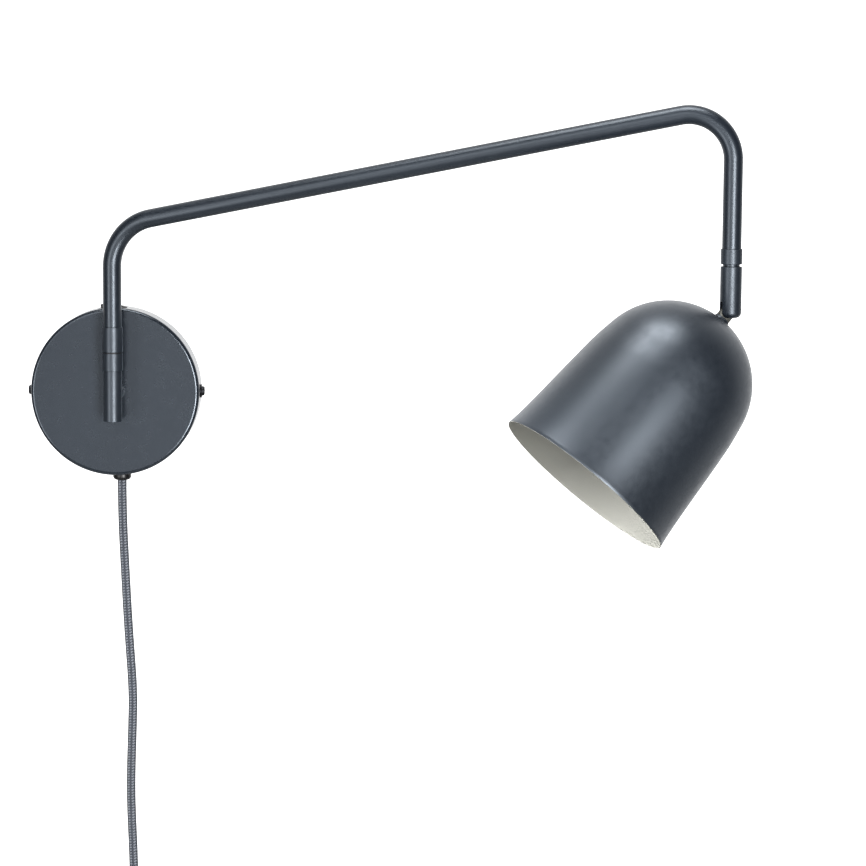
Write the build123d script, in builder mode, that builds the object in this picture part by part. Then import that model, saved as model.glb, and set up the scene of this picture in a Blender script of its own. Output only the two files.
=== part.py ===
"""Swing-arm wall lamp with a bell shade and a textile mains lead.

Millimetres and degrees. The wall is the plane y = 0, +Y points into it, +X runs
to the right along it and +Z is up. The origin is the centre of the canopy's back.
"""

import math
import os

from build123d import *

os.makedirs("parts", exist_ok=True)

# ---------------------------------------------------------------- clearances
seat_gap = 0.05  # between pieces that are assembled together
running_gap = 0.05  # radial, on each turning fit
axial_gap = 0.10  # between faces that turn on each other
swing_gap = 0.30  # between pieces that pass each other

# ------------------------------------------------------------------- canopy
canopy_dia = 120.0
canopy_depth = 25.0
canopy_wall = 1.2
canopy_edge_radius = 2.8
side_screw_depth = 12.0  # from the wall to the screw's axis
side_screw_thread_dia = 4.0
side_screw_length = 9.0
screw_flange_dia = 9.8
screw_flange_thickness = 0.9
screw_head_dia = 6.8
screw_head_height = 2.0
screw_slot_width = 1.0
screw_slot_depth = 0.8

# ------------------------------------------------------------- wall bracket
bracket_thickness = 2.0
bracket_width = 18.0
bracket_bend_radius = 2.5  # at the middle of the strap
bracket_ear_length = 18.0  # from the wall
wall_screw_spacing = 60.0
wall_screw_slot_width = 5.2
wall_screw_slot_length = 9.0
bracket_tab_width = 24.0

# -------------------------------------------------------------- post, pivot
pivot_reach = 39.0  # from the wall to the arm's swing axis
post_thread_dia = 9.9
post_thread_inside = 10.0  # how far the thread stands behind the canopy's face
post_collar_dia = 13.0
post_collar_length = 5.0
post_dia = 10.0
post_bore_dia = 5.0
post_spigot_dia = 7.8
post_spigot_length = 3.0
locknut_across_flats = 14.0
locknut_thickness = 4.0
washer_dia = 18.0
washer_thickness = 1.0

tube_dia = 13.0
tube_wall = 1.2
collar_dia = 14.5  # pivot ring, both sleeves and the knuckle

pin_bottom_height = -19.5
pin_length = 36.0
pin_bore_dia = 7.2
pin_bore_floor = 9.0  # solid metal left under the bore
pin_spigot_dia = 10.9
pin_spigot_length = 3.0
ring_length = 12.6
ring_bearing_length = 4.6
friction_washer_dia = 13.7
friction_washer_thickness = 0.55
sleeve_length = 17.75
sleeve_web = 2.5
spindle_dia = 8.0
spindle_bore_dia = 5.3
spindle_head_height = 3.6
spindle_nut_height = 4.2
turned_edge = 0.3  # chamfer on turned pieces

# ---------------------------------------------------------------------- arm
arm_reach = 435.9  # between the two upright axes
arm_swing = 12.3  # out from the wall, as shown
arm_slope = 11.4
arm_corner_height = 118.8  # where the sloping axis would meet the swing axis
wall_bend_radius = 35.0
drop_bend_radius = 30.0
arm_lead_dia = 5.0

# ------------------------------------------------------ drop sleeve, knuckle
drop_sleeve_top = 110.9
drop_sleeve_length = 10.3
drop_sleeve_web = 2.2
neck_dia = 11.3
neck_height = 1.5
knuckle_length = 34.5
knuckle_end_radius = 3.8
knuckle_slot_width = 4.0
knuckle_slot_height = 10.9
nipple_dia = 8.0
nipple_bore_dia = 4.8
nipple_in_knuckle = 8.0
nipple_over_web = 6.4
swivel_nut_height = 3.6
tilt_pivot_height = 6.0  # above the knuckle's end
tilt_pin_dia = 3.0
tilt_pin_blind = 1.8  # metal left in front of the pin
tilt_pin_sunk = 0.3  # how far the pin's head lies under the knuckle's skin

# ---------------------------------------------------------- stem and shade
shade_azimuth = 18.7  # of the shade's lean, from -X towards the viewer
shade_tilt = 41.9  # of the shade's axis, from straight down
blade_width = 9.6
blade_thickness = 3.7
collar_distance = 8.7  # from the tilt pivot to the stem's collar
stem_collar_top_dia = 10.8
stem_collar_base_dia = 11.2
stem_collar_thickness = 2.0
stem_thread_dia = 9.9
stem_thread_length = 15.3
shade_wall = 0.8
shade_height = 145.0
dome_radius = 56.5
dome_end_slope = 9.5  # of the dome's lower end against the axis
shoulder_height = 79.4  # over the rim
shoulder_radius = 58.5
waist_height = 28.0
waist_radius = 62.4
waist_slope = 3.0
rim_radius = 65.3
rim_slope = 8.5
shade_nut_across_flats = 13.0
shade_nut_height = 4.0

# -------------------------------------------------------------- lamp holder
holder_gap = 0.9  # from the shade's nut to the holder's cap
cap_top_dia = 17.0
cap_length = 17.0
holder_dia = 39.0
holder_wall = 1.8
cap_boss_length = 6.0
shell_length = 38.0
shell_rim = 1.6
insert_length = 10.0
thread_shell_bore_dia = 26.6
thread_shell_wall = 0.6
thread_shell_length = 24.0
contact_width = 5.0
contact_thickness = 0.6
contact_rise = 2.4
contact_span = 14.0
contact_well_dia = 20.0
contact_well_depth = 3.4  # below the thread shell, so that the contact stays under it

# ------------------------------------------------------------------- switch
rocker_centre_x = -2.4
rocker_pivot_depth = 5.0  # under the top of the canopy's side
rocker_half_length = 9.3
rocker_end_rise = 5.96  # of the rocker's ends over its pivot
rocker_crown = 0.8
rocker_width = 8.4
rocker_throw = 5.35  # each way from level
rocker_root_half_length = 5.5
rocker_root_drop = 2.0
rocker_shoulder_half_length = 8.0
rocker_shoulder_rise = 2.4
trunnion_dia = 2.0
trunnion_length = 0.9
switch_wall = 1.3
switch_floor = 3.0
switch_height = 13.0
switch_top_depth = 3.0  # under the top of the canopy's side

# ---------------------------------------------------------- leads and block
cord_dia = 6.5
cord_exit_x = 3.6
lead_depth = 12.5  # from the wall to the lead's axis, and to the switch's
inner_lead_dia = 6.3
grip_dia = 13.0
grip_height = 4.5  # from the canopy's side to the grip's end
grip_end_radius = 2.6
grip_neck_dia = 9.8
grip_lock_dia = 12.0
grip_lock_height = 4.0
block_width = 20.0
block_height = 14.0
block_depth = 15.0
block_drop = 22.0  # from the canopy's axis to the block's top
block_screw_dia = 3.0
block_screw_sunk = 1.0
post_lead_dia = 3.0
post_lead_bend = 3.4
post_lead_inner_bend = 5.0
post_lead_depth = 8.0  # from the wall, between the terminal block and the post

# --------------------------------------------------------- coil, tie, plug
cord_foot_x = 11.2  # where the hanging cord reaches the coil
coil_centre_height = -408.0
coil_layer_depth = 11.0  # from the wall to the first layer
coil_outer_radius = 42.4
coil_pitch = 8.2  # between the turns of a layer
coil_layer_step = 7.3
coil_turns_in_layer = 1  # whole turns wound in each layer, beside its climb
coil_layers = 4
tie_width = 8.0
tie_thickness = 1.2
tie_corner_radius = 3.5
tie_squeeze = 0.1  # how far the tie presses into the cord on each side
plug_thickness = 13.7
plug_width = 35.3
plug_face_length = 12.0
plug_taper_length = 22.0
plug_shoulder_width = 17.0
plug_relief_length = 14.0
plug_relief_dia = 8.6
plug_edge_radius = 2.2
plug_coil_gap = 0.9
plug_pin_dia = 4.0
plug_pin_length = 19.0
plug_pin_spacing = 18.6
plug_pin_inside = 8.0
plug_pin_root_dia = 3.2  # where it is moulded into the body

# ------------------------------------------------------- places worked out
canopy_radius = canopy_dia / 2
canopy_inner_radius = canopy_radius - canopy_wall
face_back = canopy_depth - canopy_wall  # from the wall to the back of the canopy's face
tube_bore_dia = tube_dia - 2 * tube_wall
sleeve_bore_dia = tube_dia + 2 * seat_gap
thread_bore = 2 * seat_gap  # what a threaded hole adds to its thread's diameter

pivot_plane = Plane(origin=(0, -pivot_reach, 0), x_dir=(1, 0, 0), z_dir=(0, 0, 1))
pin_top = pin_bottom_height + pin_length
ring_top = pin_top + ring_length
washer_top = ring_top + friction_washer_thickness
sleeve_bottom = washer_top + axial_gap
web_top = sleeve_bottom + sleeve_web
arm_start = web_top + seat_gap

swing = math.radians(arm_swing)
arm_direction = Vector(math.cos(swing), -math.sin(swing), 0)
arm_plane = Plane(
    origin=(0, -pivot_reach, 0),
    x_dir=arm_direction,
    z_dir=arm_direction.cross(Vector(0, 0, 1)),
)
drop_corner_height = arm_corner_height + arm_reach * math.tan(math.radians(arm_slope))
drop_axis = Vector(0, -pivot_reach, 0) + arm_direction * arm_reach
drop_sleeve_bottom = drop_sleeve_top - drop_sleeve_length
drop_web_top = drop_sleeve_bottom + drop_sleeve_web
arm_end = drop_web_top + seat_gap
knuckle_top = drop_sleeve_bottom - axial_gap - neck_height
knuckle_bottom = knuckle_top - knuckle_length
tilt_height = knuckle_bottom + tilt_pivot_height
tilt_pivot = drop_axis + Vector(0, 0, tilt_height)
nipple_bottom = knuckle_top - nipple_in_knuckle
nipple_top = drop_web_top + nipple_over_web

azimuth = math.radians(shade_azimuth)
tilt = math.radians(shade_tilt)
lean_direction = Vector(-math.cos(azimuth), -math.sin(azimuth), 0)
slot_normal = lean_direction.cross(Vector(0, 0, 1))
shade_direction = lean_direction * math.sin(tilt) - Vector(0, 0, math.cos(tilt))
# In the tilt plane x runs level towards the shade and y runs up.
tilt_plane = Plane(origin=tilt_pivot, x_dir=lean_direction, z_dir=slot_normal)
# In the shade plane x runs along the shade's axis, out of its mouth.
shade_plane = Plane(origin=tilt_pivot, x_dir=shade_direction, z_dir=slot_normal)
shade_axis = Axis(tilt_pivot, shade_direction)

apex = collar_distance + stem_collar_thickness  # from the tilt pivot, along the axis
rim = apex + shade_height
dome_centre = apex + dome_radius
nut_half_diagonal = shade_nut_across_flats / math.sqrt(3)
dome_inner_radius = dome_radius - shade_wall
shade_nut_top = (
    dome_centre - math.sqrt(dome_inner_radius**2 - nut_half_diagonal**2) + seat_gap
)
cap_top = shade_nut_top + shade_nut_height + holder_gap
shell_top = cap_top + cap_length
shell_end = shell_top + shell_length
insert_end = shell_top + insert_length
holder_inner_radius = holder_dia / 2 - holder_wall


def across_shade(distance: float) -> Plane:
    """The plane square to the shade's axis, at a distance from the tilt pivot."""
    return Plane(
        origin=tilt_pivot + shade_direction * distance,
        x_dir=slot_normal,
        z_dir=shade_direction,
    )


def level_plane(centre: Vector, height: float) -> Plane:
    """The level plane with its origin over a centre, at a height."""
    return Plane(origin=(centre.X, centre.Y, height), x_dir=(1, 0, 0), z_dir=(0, 0, 1))


# ================================================================== the wall
side_screw_hole_dia = side_screw_thread_dia + 2 * swing_gap
grip_neck_hole_dia = grip_neck_dia + 2 * seat_gap
rocker_reach = rocker_half_length * math.cos(math.radians(rocker_throw))
rocker_reach += rocker_end_rise * math.sin(math.radians(rocker_throw))
switch_window = 2 * (rocker_reach + swing_gap)
rocker_pivot_height = canopy_radius - rocker_pivot_depth

with BuildPart() as wall_canopy:
    with BuildSketch(Plane.XZ):
        Circle(canopy_radius)
    extrude(amount=canopy_depth)
    fillet(wall_canopy.edges().group_by(Axis.Y)[0], radius=canopy_edge_radius)
    offset(amount=-canopy_wall, openings=wall_canopy.faces().sort_by(Axis.Y)[-1])
    with BuildSketch(Plane.XZ):
        Circle((post_thread_dia + thread_bore) / 2)
    extrude(amount=canopy_depth, mode=Mode.SUBTRACT)
    with BuildSketch(Plane.YZ):
        with Locations((-side_screw_depth, 0)):
            Circle(side_screw_hole_dia / 2)
    extrude(amount=canopy_dia, both=True, mode=Mode.SUBTRACT)
    with BuildSketch(Plane.XY):
        with Locations((rocker_centre_x, -lead_depth)):
            Rectangle(switch_window, rocker_width + 2 * swing_gap)
    extrude(amount=canopy_dia, mode=Mode.SUBTRACT)
    with BuildSketch(Plane.XY):
        with Locations((cord_exit_x, -lead_depth)):
            Circle(grip_neck_hole_dia / 2)
    extrude(amount=-canopy_dia, mode=Mode.SUBTRACT)
wall_canopy.part.label = "wall_canopy"
export_step(wall_canopy.part, "parts/wall_canopy.step")

# The ears stand so far out that their corners just clear the canopy's round side.
ear_reach = math.sqrt((canopy_inner_radius - swing_gap) ** 2 - (bracket_width / 2) ** 2)
ear_centre = ear_reach - bracket_thickness / 2
block_bottom = -block_drop - block_height

with BuildPart() as wall_bracket:
    with BuildSketch(Plane.XY):
        with BuildLine() as strap_line:
            FilletPolyline(
                (-ear_centre, -bracket_ear_length),
                (-ear_centre, -bracket_thickness / 2),
                (ear_centre, -bracket_thickness / 2),
                (ear_centre, -bracket_ear_length),
                radius=bracket_bend_radius,
            )
        trace(strap_line.line, line_width=bracket_thickness)
    extrude(amount=bracket_width / 2, both=True)
    with BuildSketch(Plane.XZ):
        with Locations((cord_exit_x, block_bottom / 2)):
            Rectangle(bracket_tab_width, -block_bottom)
    extrude(amount=bracket_thickness)
    with BuildSketch(Plane.XZ):
        with GridLocations(wall_screw_spacing, 1, 2, 1):
            SlotOverall(wall_screw_slot_length, wall_screw_slot_width)
    extrude(amount=bracket_thickness, mode=Mode.SUBTRACT)
    with BuildSketch(Plane.YZ):
        with Locations((-side_screw_depth, 0)):
            Circle((side_screw_thread_dia + thread_bore) / 2)
    extrude(amount=canopy_dia, both=True, mode=Mode.SUBTRACT)
wall_bracket.part.label = "wall_bracket"
export_step(wall_bracket.part, "parts/wall_bracket.step")

with BuildPart() as canopy_side_screws:
    with BuildSketch(Plane.YZ.offset(canopy_radius + seat_gap)):
        with Locations((-side_screw_depth, 0)):
            Circle(screw_flange_dia / 2)
    extrude(amount=screw_flange_thickness)
    head_start = canopy_radius + seat_gap + screw_flange_thickness
    with BuildSketch(Plane.YZ.offset(head_start)):
        with Locations((-side_screw_depth, 0)):
            Circle(screw_head_dia / 2)
    extrude(amount=screw_head_height)
    fillet(canopy_side_screws.edges().group_by(Axis.X)[-1], radius=screw_head_height * 0.6)
    with BuildSketch(Plane.YZ.offset(head_start + screw_head_height)):
        with Locations((-side_screw_depth, 0)):
            Rectangle(screw_head_dia, screw_slot_width)
    extrude(amount=-screw_slot_depth, mode=Mode.SUBTRACT)
    with BuildSketch(Plane.YZ.offset(canopy_radius + seat_gap)):
        with Locations((-side_screw_depth, 0)):
            Circle(side_screw_thread_dia / 2)
    extrude(amount=-side_screw_length)
    mirror(about=Plane.YZ)
canopy_side_screws.part.label = "canopy_side_screws"
export_step(canopy_side_screws.part, "parts/canopy_side_screws.step")

# ========================================================= post and its nut
with BuildPart() as pivot_post:
    with BuildSketch(Plane.XZ.offset(face_back - post_thread_inside)):
        Circle(post_thread_dia / 2)
    extrude(amount=post_thread_inside + canopy_wall + seat_gap)
    with BuildSketch(Plane.XZ.offset(canopy_depth + seat_gap)):
        Circle(post_collar_dia / 2)
    extrude(amount=post_collar_length)
    chamfer(pivot_post.edges().group_by(Axis.Y)[0], length=turned_edge)
    with BuildSketch(Plane.XZ.offset(canopy_depth + post_collar_length)):
        Circle(post_dia / 2)
    extrude(amount=pivot_reach - canopy_depth - post_collar_length)
    with BuildSketch(pivot_plane):
        Circle(tube_dia / 2 + seat_gap)
    extrude(amount=post_collar_dia, both=True, mode=Mode.SUBTRACT)
    with BuildSketch(Plane.XZ.offset(canopy_depth)):
        Circle(post_spigot_dia / 2)
    extrude(amount=pivot_reach - tube_dia / 2 + post_spigot_length - canopy_depth)
    with BuildSketch(Plane.XZ):
        Circle(post_bore_dia / 2)
    extrude(amount=pivot_reach, mode=Mode.SUBTRACT)
pivot_post.part.label = "pivot_post"
export_step(pivot_post.part, "parts/pivot_post.step")

with BuildPart() as post_washer:
    with BuildSketch(Plane.XZ.offset(face_back - seat_gap)):
        Circle(washer_dia / 2)
        Circle((post_thread_dia + thread_bore) / 2, mode=Mode.SUBTRACT)
    extrude(amount=-washer_thickness)
post_washer.part.label = "post_washer"
export_step(post_washer.part, "parts/post_washer.step")

with BuildPart() as post_locknut:
    with BuildSketch(Plane.XZ.offset(face_back - washer_thickness - 2 * seat_gap)):
        RegularPolygon(locknut_across_flats / 2, 6, major_radius=False)
        Circle((post_thread_dia + thread_bore) / 2, mode=Mode.SUBTRACT)
    extrude(amount=-locknut_thickness)
post_locknut.part.label = "post_locknut"
export_step(post_locknut.part, "parts/post_locknut.step")

# ==================================================================== pivot
with BuildPart() as pivot_pin:
    with BuildSketch(pivot_plane.offset(pin_bottom_height)):
        Circle(tube_dia / 2)
    extrude(amount=pin_length)
    chamfer(pivot_pin.edges().group_by(Axis.Z)[0], length=turned_edge)
    with BuildSketch(pivot_plane.offset(pin_top)):
        Circle(pin_spigot_dia / 2)
    extrude(amount=pin_spigot_length)
    with BuildSketch(pivot_plane.offset(pin_bottom_height + pin_bore_floor)):
        Circle(pin_bore_dia / 2)
    extrude(amount=pin_length, mode=Mode.SUBTRACT)
    with BuildSketch(Plane.XZ.offset(canopy_depth)):
        Circle(post_spigot_dia / 2 + seat_gap)
    extrude(amount=pivot_reach - canopy_depth, mode=Mode.SUBTRACT)
pivot_pin.part.label = "pivot_pin"
export_step(pivot_pin.part, "parts/pivot_pin.step")

ring_counterbore_depth = ring_length - ring_bearing_length

with BuildPart() as pivot_ring:
    with BuildSketch(pivot_plane.offset(pin_top)):
        Circle(collar_dia / 2)
        Circle(pin_spigot_dia / 2 + seat_gap, mode=Mode.SUBTRACT)
    extrude(amount=ring_counterbore_depth)
    with BuildSketch(pivot_plane.offset(pin_top + ring_counterbore_depth)):
        Circle(collar_dia / 2)
        Circle(spindle_dia / 2 + running_gap, mode=Mode.SUBTRACT)
    extrude(amount=ring_bearing_length)
    ring_rims = pivot_ring.edges().filter_by(GeomType.CIRCLE)
    ring_rims = ring_rims.filter_by(lambda edge: edge.radius > friction_washer_dia / 2)
    chamfer(ring_rims.sort_by(Axis.Z)[-1], length=turned_edge)
pivot_ring.part.label = "pivot_ring"
export_step(pivot_ring.part, "parts/pivot_ring.step")

with BuildPart() as friction_washer:
    with BuildSketch(pivot_plane.offset(ring_top)):
        Circle(friction_washer_dia / 2)
        Circle(spindle_dia / 2 + swing_gap, mode=Mode.SUBTRACT)
    extrude(amount=friction_washer_thickness)
friction_washer.part.label = "friction_washer"
export_step(friction_washer.part, "parts/friction_washer.step")

spindle_nut_top = pin_top + ring_counterbore_depth - axial_gap
spindle_bottom = spindle_nut_top - spindle_nut_height

with BuildPart() as arm_spindle:
    with BuildSketch(pivot_plane.offset(spindle_bottom)):
        Circle(spindle_dia / 2)
    extrude(amount=arm_start - spindle_bottom)
    with BuildSketch(pivot_plane.offset(arm_start)):
        Circle(tube_bore_dia / 2 - 2 * seat_gap)
    extrude(amount=spindle_head_height)
    with BuildSketch(pivot_plane.offset(spindle_bottom)):
        Circle(spindle_bore_dia / 2)
    extrude(amount=arm_start + spindle_head_height - spindle_bottom, mode=Mode.SUBTRACT)
arm_spindle.part.label = "arm_spindle"
export_step(arm_spindle.part, "parts/arm_spindle.step")

with BuildPart() as spindle_nut:
    with BuildSketch(pivot_plane.offset(spindle_bottom)):
        Circle(pin_spigot_dia / 2 - swing_gap)
        Circle(spindle_dia / 2 + seat_gap, mode=Mode.SUBTRACT)
    extrude(amount=spindle_nut_height)
spindle_nut.part.label = "spindle_nut"
export_step(spindle_nut.part, "parts/spindle_nut.step")

with BuildPart() as arm_sleeve:
    with BuildSketch(pivot_plane.offset(sleeve_bottom)):
        Circle(collar_dia / 2)
        Circle(spindle_dia / 2 + seat_gap, mode=Mode.SUBTRACT)
    extrude(amount=sleeve_web)
    with BuildSketch(pivot_plane.offset(web_top)):
        Circle(collar_dia / 2)
        Circle(sleeve_bore_dia / 2, mode=Mode.SUBTRACT)
    extrude(amount=sleeve_length - sleeve_web)
    sleeve_rims = arm_sleeve.edges().filter_by(GeomType.CIRCLE)
    sleeve_rims = sleeve_rims.filter_by(lambda edge: edge.radius > sleeve_bore_dia / 2)
    chamfer(sleeve_rims.sort_by(Axis.Z)[0], length=turned_edge)
    chamfer(sleeve_rims.sort_by(Axis.Z)[-1], length=turned_edge)
arm_sleeve.part.label = "arm_sleeve"
export_step(arm_sleeve.part, "parts/arm_sleeve.step")

# ====================================================================== arm
with BuildPart() as arm_tube:
    with BuildLine(arm_plane) as arm_line:
        FilletPolyline(
            (0, arm_start),
            (0, arm_corner_height),
            (arm_reach, drop_corner_height),
            (arm_reach, arm_end),
            radius=[wall_bend_radius, drop_bend_radius],
        )
    with BuildSketch(pivot_plane.offset(arm_start)):
        Circle(tube_dia / 2)
        Circle(tube_bore_dia / 2, mode=Mode.SUBTRACT)
    sweep(path=arm_line.line)
arm_tube.part.label = "arm_tube"
export_step(arm_tube.part, "parts/arm_tube.step")

with BuildPart() as arm_lead:
    with BuildLine(arm_plane) as arm_lead_line:
        FilletPolyline(
            (0, spindle_bottom),
            (0, arm_corner_height),
            (arm_reach, drop_corner_height),
            (arm_reach, nipple_top + swing_gap),
            radius=[wall_bend_radius, drop_bend_radius],
        )
    with BuildSketch(pivot_plane.offset(spindle_bottom)):
        Circle(arm_lead_dia / 2)
    sweep(path=arm_lead_line.line)
arm_lead.part.label = "arm_lead"
export_step(arm_lead.part, "parts/arm_lead.step")

with BuildPart() as drop_sleeve:
    with BuildSketch(level_plane(drop_axis, drop_sleeve_bottom)):
        Circle(collar_dia / 2)
        Circle(nipple_dia / 2 + running_gap, mode=Mode.SUBTRACT)
    extrude(amount=drop_sleeve_web)
    with BuildSketch(level_plane(drop_axis, drop_web_top)):
        Circle(collar_dia / 2)
        Circle(sleeve_bore_dia / 2, mode=Mode.SUBTRACT)
    extrude(amount=drop_sleeve_length - drop_sleeve_web)
    drop_rims = drop_sleeve.edges().filter_by(GeomType.CIRCLE)
    drop_rims = drop_rims.filter_by(lambda edge: edge.radius > sleeve_bore_dia / 2)
    chamfer(drop_rims.sort_by(Axis.Z)[0], length=turned_edge)
    chamfer(drop_rims.sort_by(Axis.Z)[-1], length=turned_edge)
drop_sleeve.part.label = "drop_sleeve"
export_step(drop_sleeve.part, "parts/drop_sleeve.step")

# ================================================================== knuckle
with BuildPart() as knuckle:
    with BuildSketch(level_plane(drop_axis, knuckle_bottom)):
        Circle(collar_dia / 2)
    extrude(amount=knuckle_length)
    fillet(knuckle.edges().group_by(Axis.Z)[0], radius=knuckle_end_radius)
    chamfer(knuckle.edges().group_by(Axis.Z)[-1], length=turned_edge)
    with BuildSketch(level_plane(drop_axis, knuckle_top)):
        Circle(neck_dia / 2)
    extrude(amount=neck_height)
    with BuildSketch(level_plane(drop_axis, nipple_bottom)):
        Circle(nipple_dia / 2 + seat_gap)
    extrude(amount=knuckle_length, mode=Mode.SUBTRACT)
    with BuildSketch(level_plane(drop_axis, tilt_height)):
        Circle(nipple_bore_dia / 2)
    extrude(amount=knuckle_length, mode=Mode.SUBTRACT)
    # The slot is open towards the shade and downwards, and closed behind.
    slot_behind = blade_width / 2 + swing_gap
    with BuildSketch(tilt_plane):
        with Locations((-slot_behind, knuckle_slot_height - tilt_pivot_height)):
            Rectangle(
                collar_dia,
                collar_dia,
                align=(Align.MIN, Align.MAX),
            )
    extrude(amount=knuckle_slot_width / 2, both=True, mode=Mode.SUBTRACT)
    with BuildSketch(tilt_plane.offset(tilt_pin_blind - collar_dia / 2)):
        Circle(tilt_pin_dia / 2 + seat_gap)
    extrude(amount=collar_dia, mode=Mode.SUBTRACT)
knuckle.part.label = "knuckle"
export_step(knuckle.part, "parts/knuckle.step")

with BuildPart() as swivel_nipple:
    with BuildSketch(level_plane(drop_axis, nipple_bottom)):
        Circle(nipple_dia / 2)
        Circle(nipple_bore_dia / 2, mode=Mode.SUBTRACT)
    extrude(amount=nipple_top - nipple_bottom)
swivel_nipple.part.label = "swivel_nipple"
export_step(swivel_nipple.part, "parts/swivel_nipple.step")

with BuildPart() as swivel_nut:
    with BuildSketch(level_plane(drop_axis, drop_web_top + axial_gap)):
        Circle(tube_bore_dia / 2 - swing_gap)
        Circle(nipple_dia / 2 + seat_gap, mode=Mode.SUBTRACT)
    extrude(amount=swivel_nut_height)
swivel_nut.part.label = "swivel_nut"
export_step(swivel_nut.part, "parts/swivel_nut.step")

pin_front = collar_dia / 2 - tilt_pin_blind - seat_gap
pin_back = collar_dia / 2 - tilt_pin_sunk

with BuildPart() as tilt_pin:
    with BuildSketch(tilt_plane.offset(-pin_front)):
        Circle(tilt_pin_dia / 2)
    extrude(amount=pin_front + pin_back)
tilt_pin.part.label = "tilt_pin"
export_step(tilt_pin.part, "parts/tilt_pin.step")

# =========================================================== stem and shade
with BuildPart() as tilt_stem:
    with BuildSketch(shade_plane):
        Circle(blade_width / 2)
        Rectangle(collar_distance, blade_width, align=(Align.MIN, Align.CENTER))
        Circle(tilt_pin_dia / 2 + running_gap, mode=Mode.SUBTRACT)
    extrude(amount=blade_thickness / 2, both=True)
    with BuildSketch(across_shade(collar_distance)):
        Circle(stem_thread_dia / 2)
    extrude(amount=stem_thread_length)
tilt_stem.part.label = "tilt_stem"
export_step(tilt_stem.part, "parts/tilt_stem.step")

with BuildPart() as stem_collar:
    with BuildSketch(across_shade(collar_distance)):
        Circle(stem_collar_top_dia / 2)
    with BuildSketch(across_shade(apex)):
        Circle(stem_collar_base_dia / 2)
    loft()
    with BuildSketch(across_shade(collar_distance)):
        Circle(stem_thread_dia / 2 + seat_gap)
    extrude(amount=stem_collar_thickness, mode=Mode.SUBTRACT)
stem_collar.part.label = "stem_collar"
export_step(stem_collar.part, "parts/stem_collar.step")

rim_tangent = (math.cos(math.radians(rim_slope)), math.sin(math.radians(rim_slope)))


def shade_wall_line(inset: float) -> Spline:
    """Draw one face of the shade's wall, from the apex to the rim, set in by an inset."""
    dome = CenterArc((dome_centre, 0), dome_radius - inset, 180, dome_end_slope - 90)
    return Spline(
        dome @ 1,
        (rim - shoulder_height, shoulder_radius - inset),
        (rim - waist_height, waist_radius - inset),
        (rim, rim_radius - inset),
        tangents=[dome % 1, rim_tangent],
    )


with BuildPart() as shade:
    with BuildSketch(shade_plane):
        with BuildLine():
            shade_wall_line(0)
            shade_wall_line(shade_wall)
            Line((apex, 0), (apex + shade_wall, 0))
            Line((rim, rim_radius), (rim, rim_radius - shade_wall))
        make_face()
    revolve(axis=shade_axis)
    with BuildSketch(across_shade(collar_distance)):
        Circle(stem_thread_dia / 2 + seat_gap)
    extrude(amount=dome_radius / 2, mode=Mode.SUBTRACT)
shade.part.label = "shade"
export_step(shade.part, "parts/shade.step")

with BuildPart() as shade_nut:
    with BuildSketch(across_shade(shade_nut_top)):
        RegularPolygon(shade_nut_across_flats / 2, 6, major_radius=False)
        Circle(stem_thread_dia / 2 + seat_gap, mode=Mode.SUBTRACT)
    extrude(amount=shade_nut_height)
shade_nut.part.label = "shade_nut"
export_step(shade_nut.part, "parts/shade_nut.step")

# ============================================================== lamp holder
cap_floor = cap_top + cap_boss_length + holder_wall

with BuildPart() as holder_cap:
    with BuildSketch(shade_plane):
        with BuildLine():
            Polyline(
                (cap_top, 0),
                (cap_top, cap_top_dia / 2),
                (cap_top + cap_boss_length, cap_top_dia / 2),
                (shell_top, holder_dia / 2),
                (shell_top, holder_inner_radius),
                (cap_floor, cap_top_dia / 2 - holder_wall / 2),
                (cap_floor, 0),
                close=True,
            )
        make_face()
    revolve(axis=shade_axis)
    with BuildSketch(across_shade(collar_distance)):
        Circle(stem_thread_dia / 2 + seat_gap)
    extrude(amount=rim, mode=Mode.SUBTRACT)
holder_cap.part.label = "holder_cap"
export_step(holder_cap.part, "parts/holder_cap.step")

with BuildPart() as holder_shell:
    with BuildSketch(across_shade(shell_top)):
        Circle(holder_dia / 2)
        Circle(holder_inner_radius, mode=Mode.SUBTRACT)
    extrude(amount=shell_length)
    with BuildSketch(across_shade(shell_end)):
        Circle(holder_dia / 2)
        Circle(
            thread_shell_bore_dia / 2 + thread_shell_wall + swing_gap, mode=Mode.SUBTRACT
        )
    extrude(amount=-shell_rim)
holder_shell.part.label = "holder_shell"
export_step(holder_shell.part, "parts/holder_shell.step")

with BuildPart() as holder_insert:
    with BuildSketch(across_shade(shell_top)):
        Circle(holder_inner_radius - seat_gap)
    extrude(amount=insert_length)
    with BuildSketch(across_shade(insert_end)):
        Circle(contact_well_dia / 2)
    extrude(amount=-contact_well_depth, mode=Mode.SUBTRACT)
holder_insert.part.label = "holder_insert"
export_step(holder_insert.part, "parts/holder_insert.step")

with BuildPart() as thread_shell:
    with BuildSketch(across_shade(insert_end)):
        Circle(thread_shell_bore_dia / 2 + thread_shell_wall)
        Circle(thread_shell_bore_dia / 2, mode=Mode.SUBTRACT)
    extrude(amount=thread_shell_length)
thread_shell.part.label = "thread_shell"
export_step(thread_shell.part, "parts/thread_shell.step")

well_floor = insert_end - contact_well_depth

with BuildPart() as centre_contact:
    with BuildSketch(shade_plane):
        with BuildLine() as contact_line:
            ThreePointArc(
                (well_floor, -contact_span / 2),
                (well_floor + contact_rise, 0),
                (well_floor, contact_span / 2),
            )
        trace(contact_line.line, line_width=contact_thickness)
    extrude(amount=contact_width / 2, both=True)
    with BuildSketch(across_shade(well_floor)):
        Circle(contact_span)
    extrude(amount=-contact_span, mode=Mode.SUBTRACT)
centre_contact.part.label = "centre_contact"
export_step(centre_contact.part, "parts/centre_contact.step")

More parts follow.
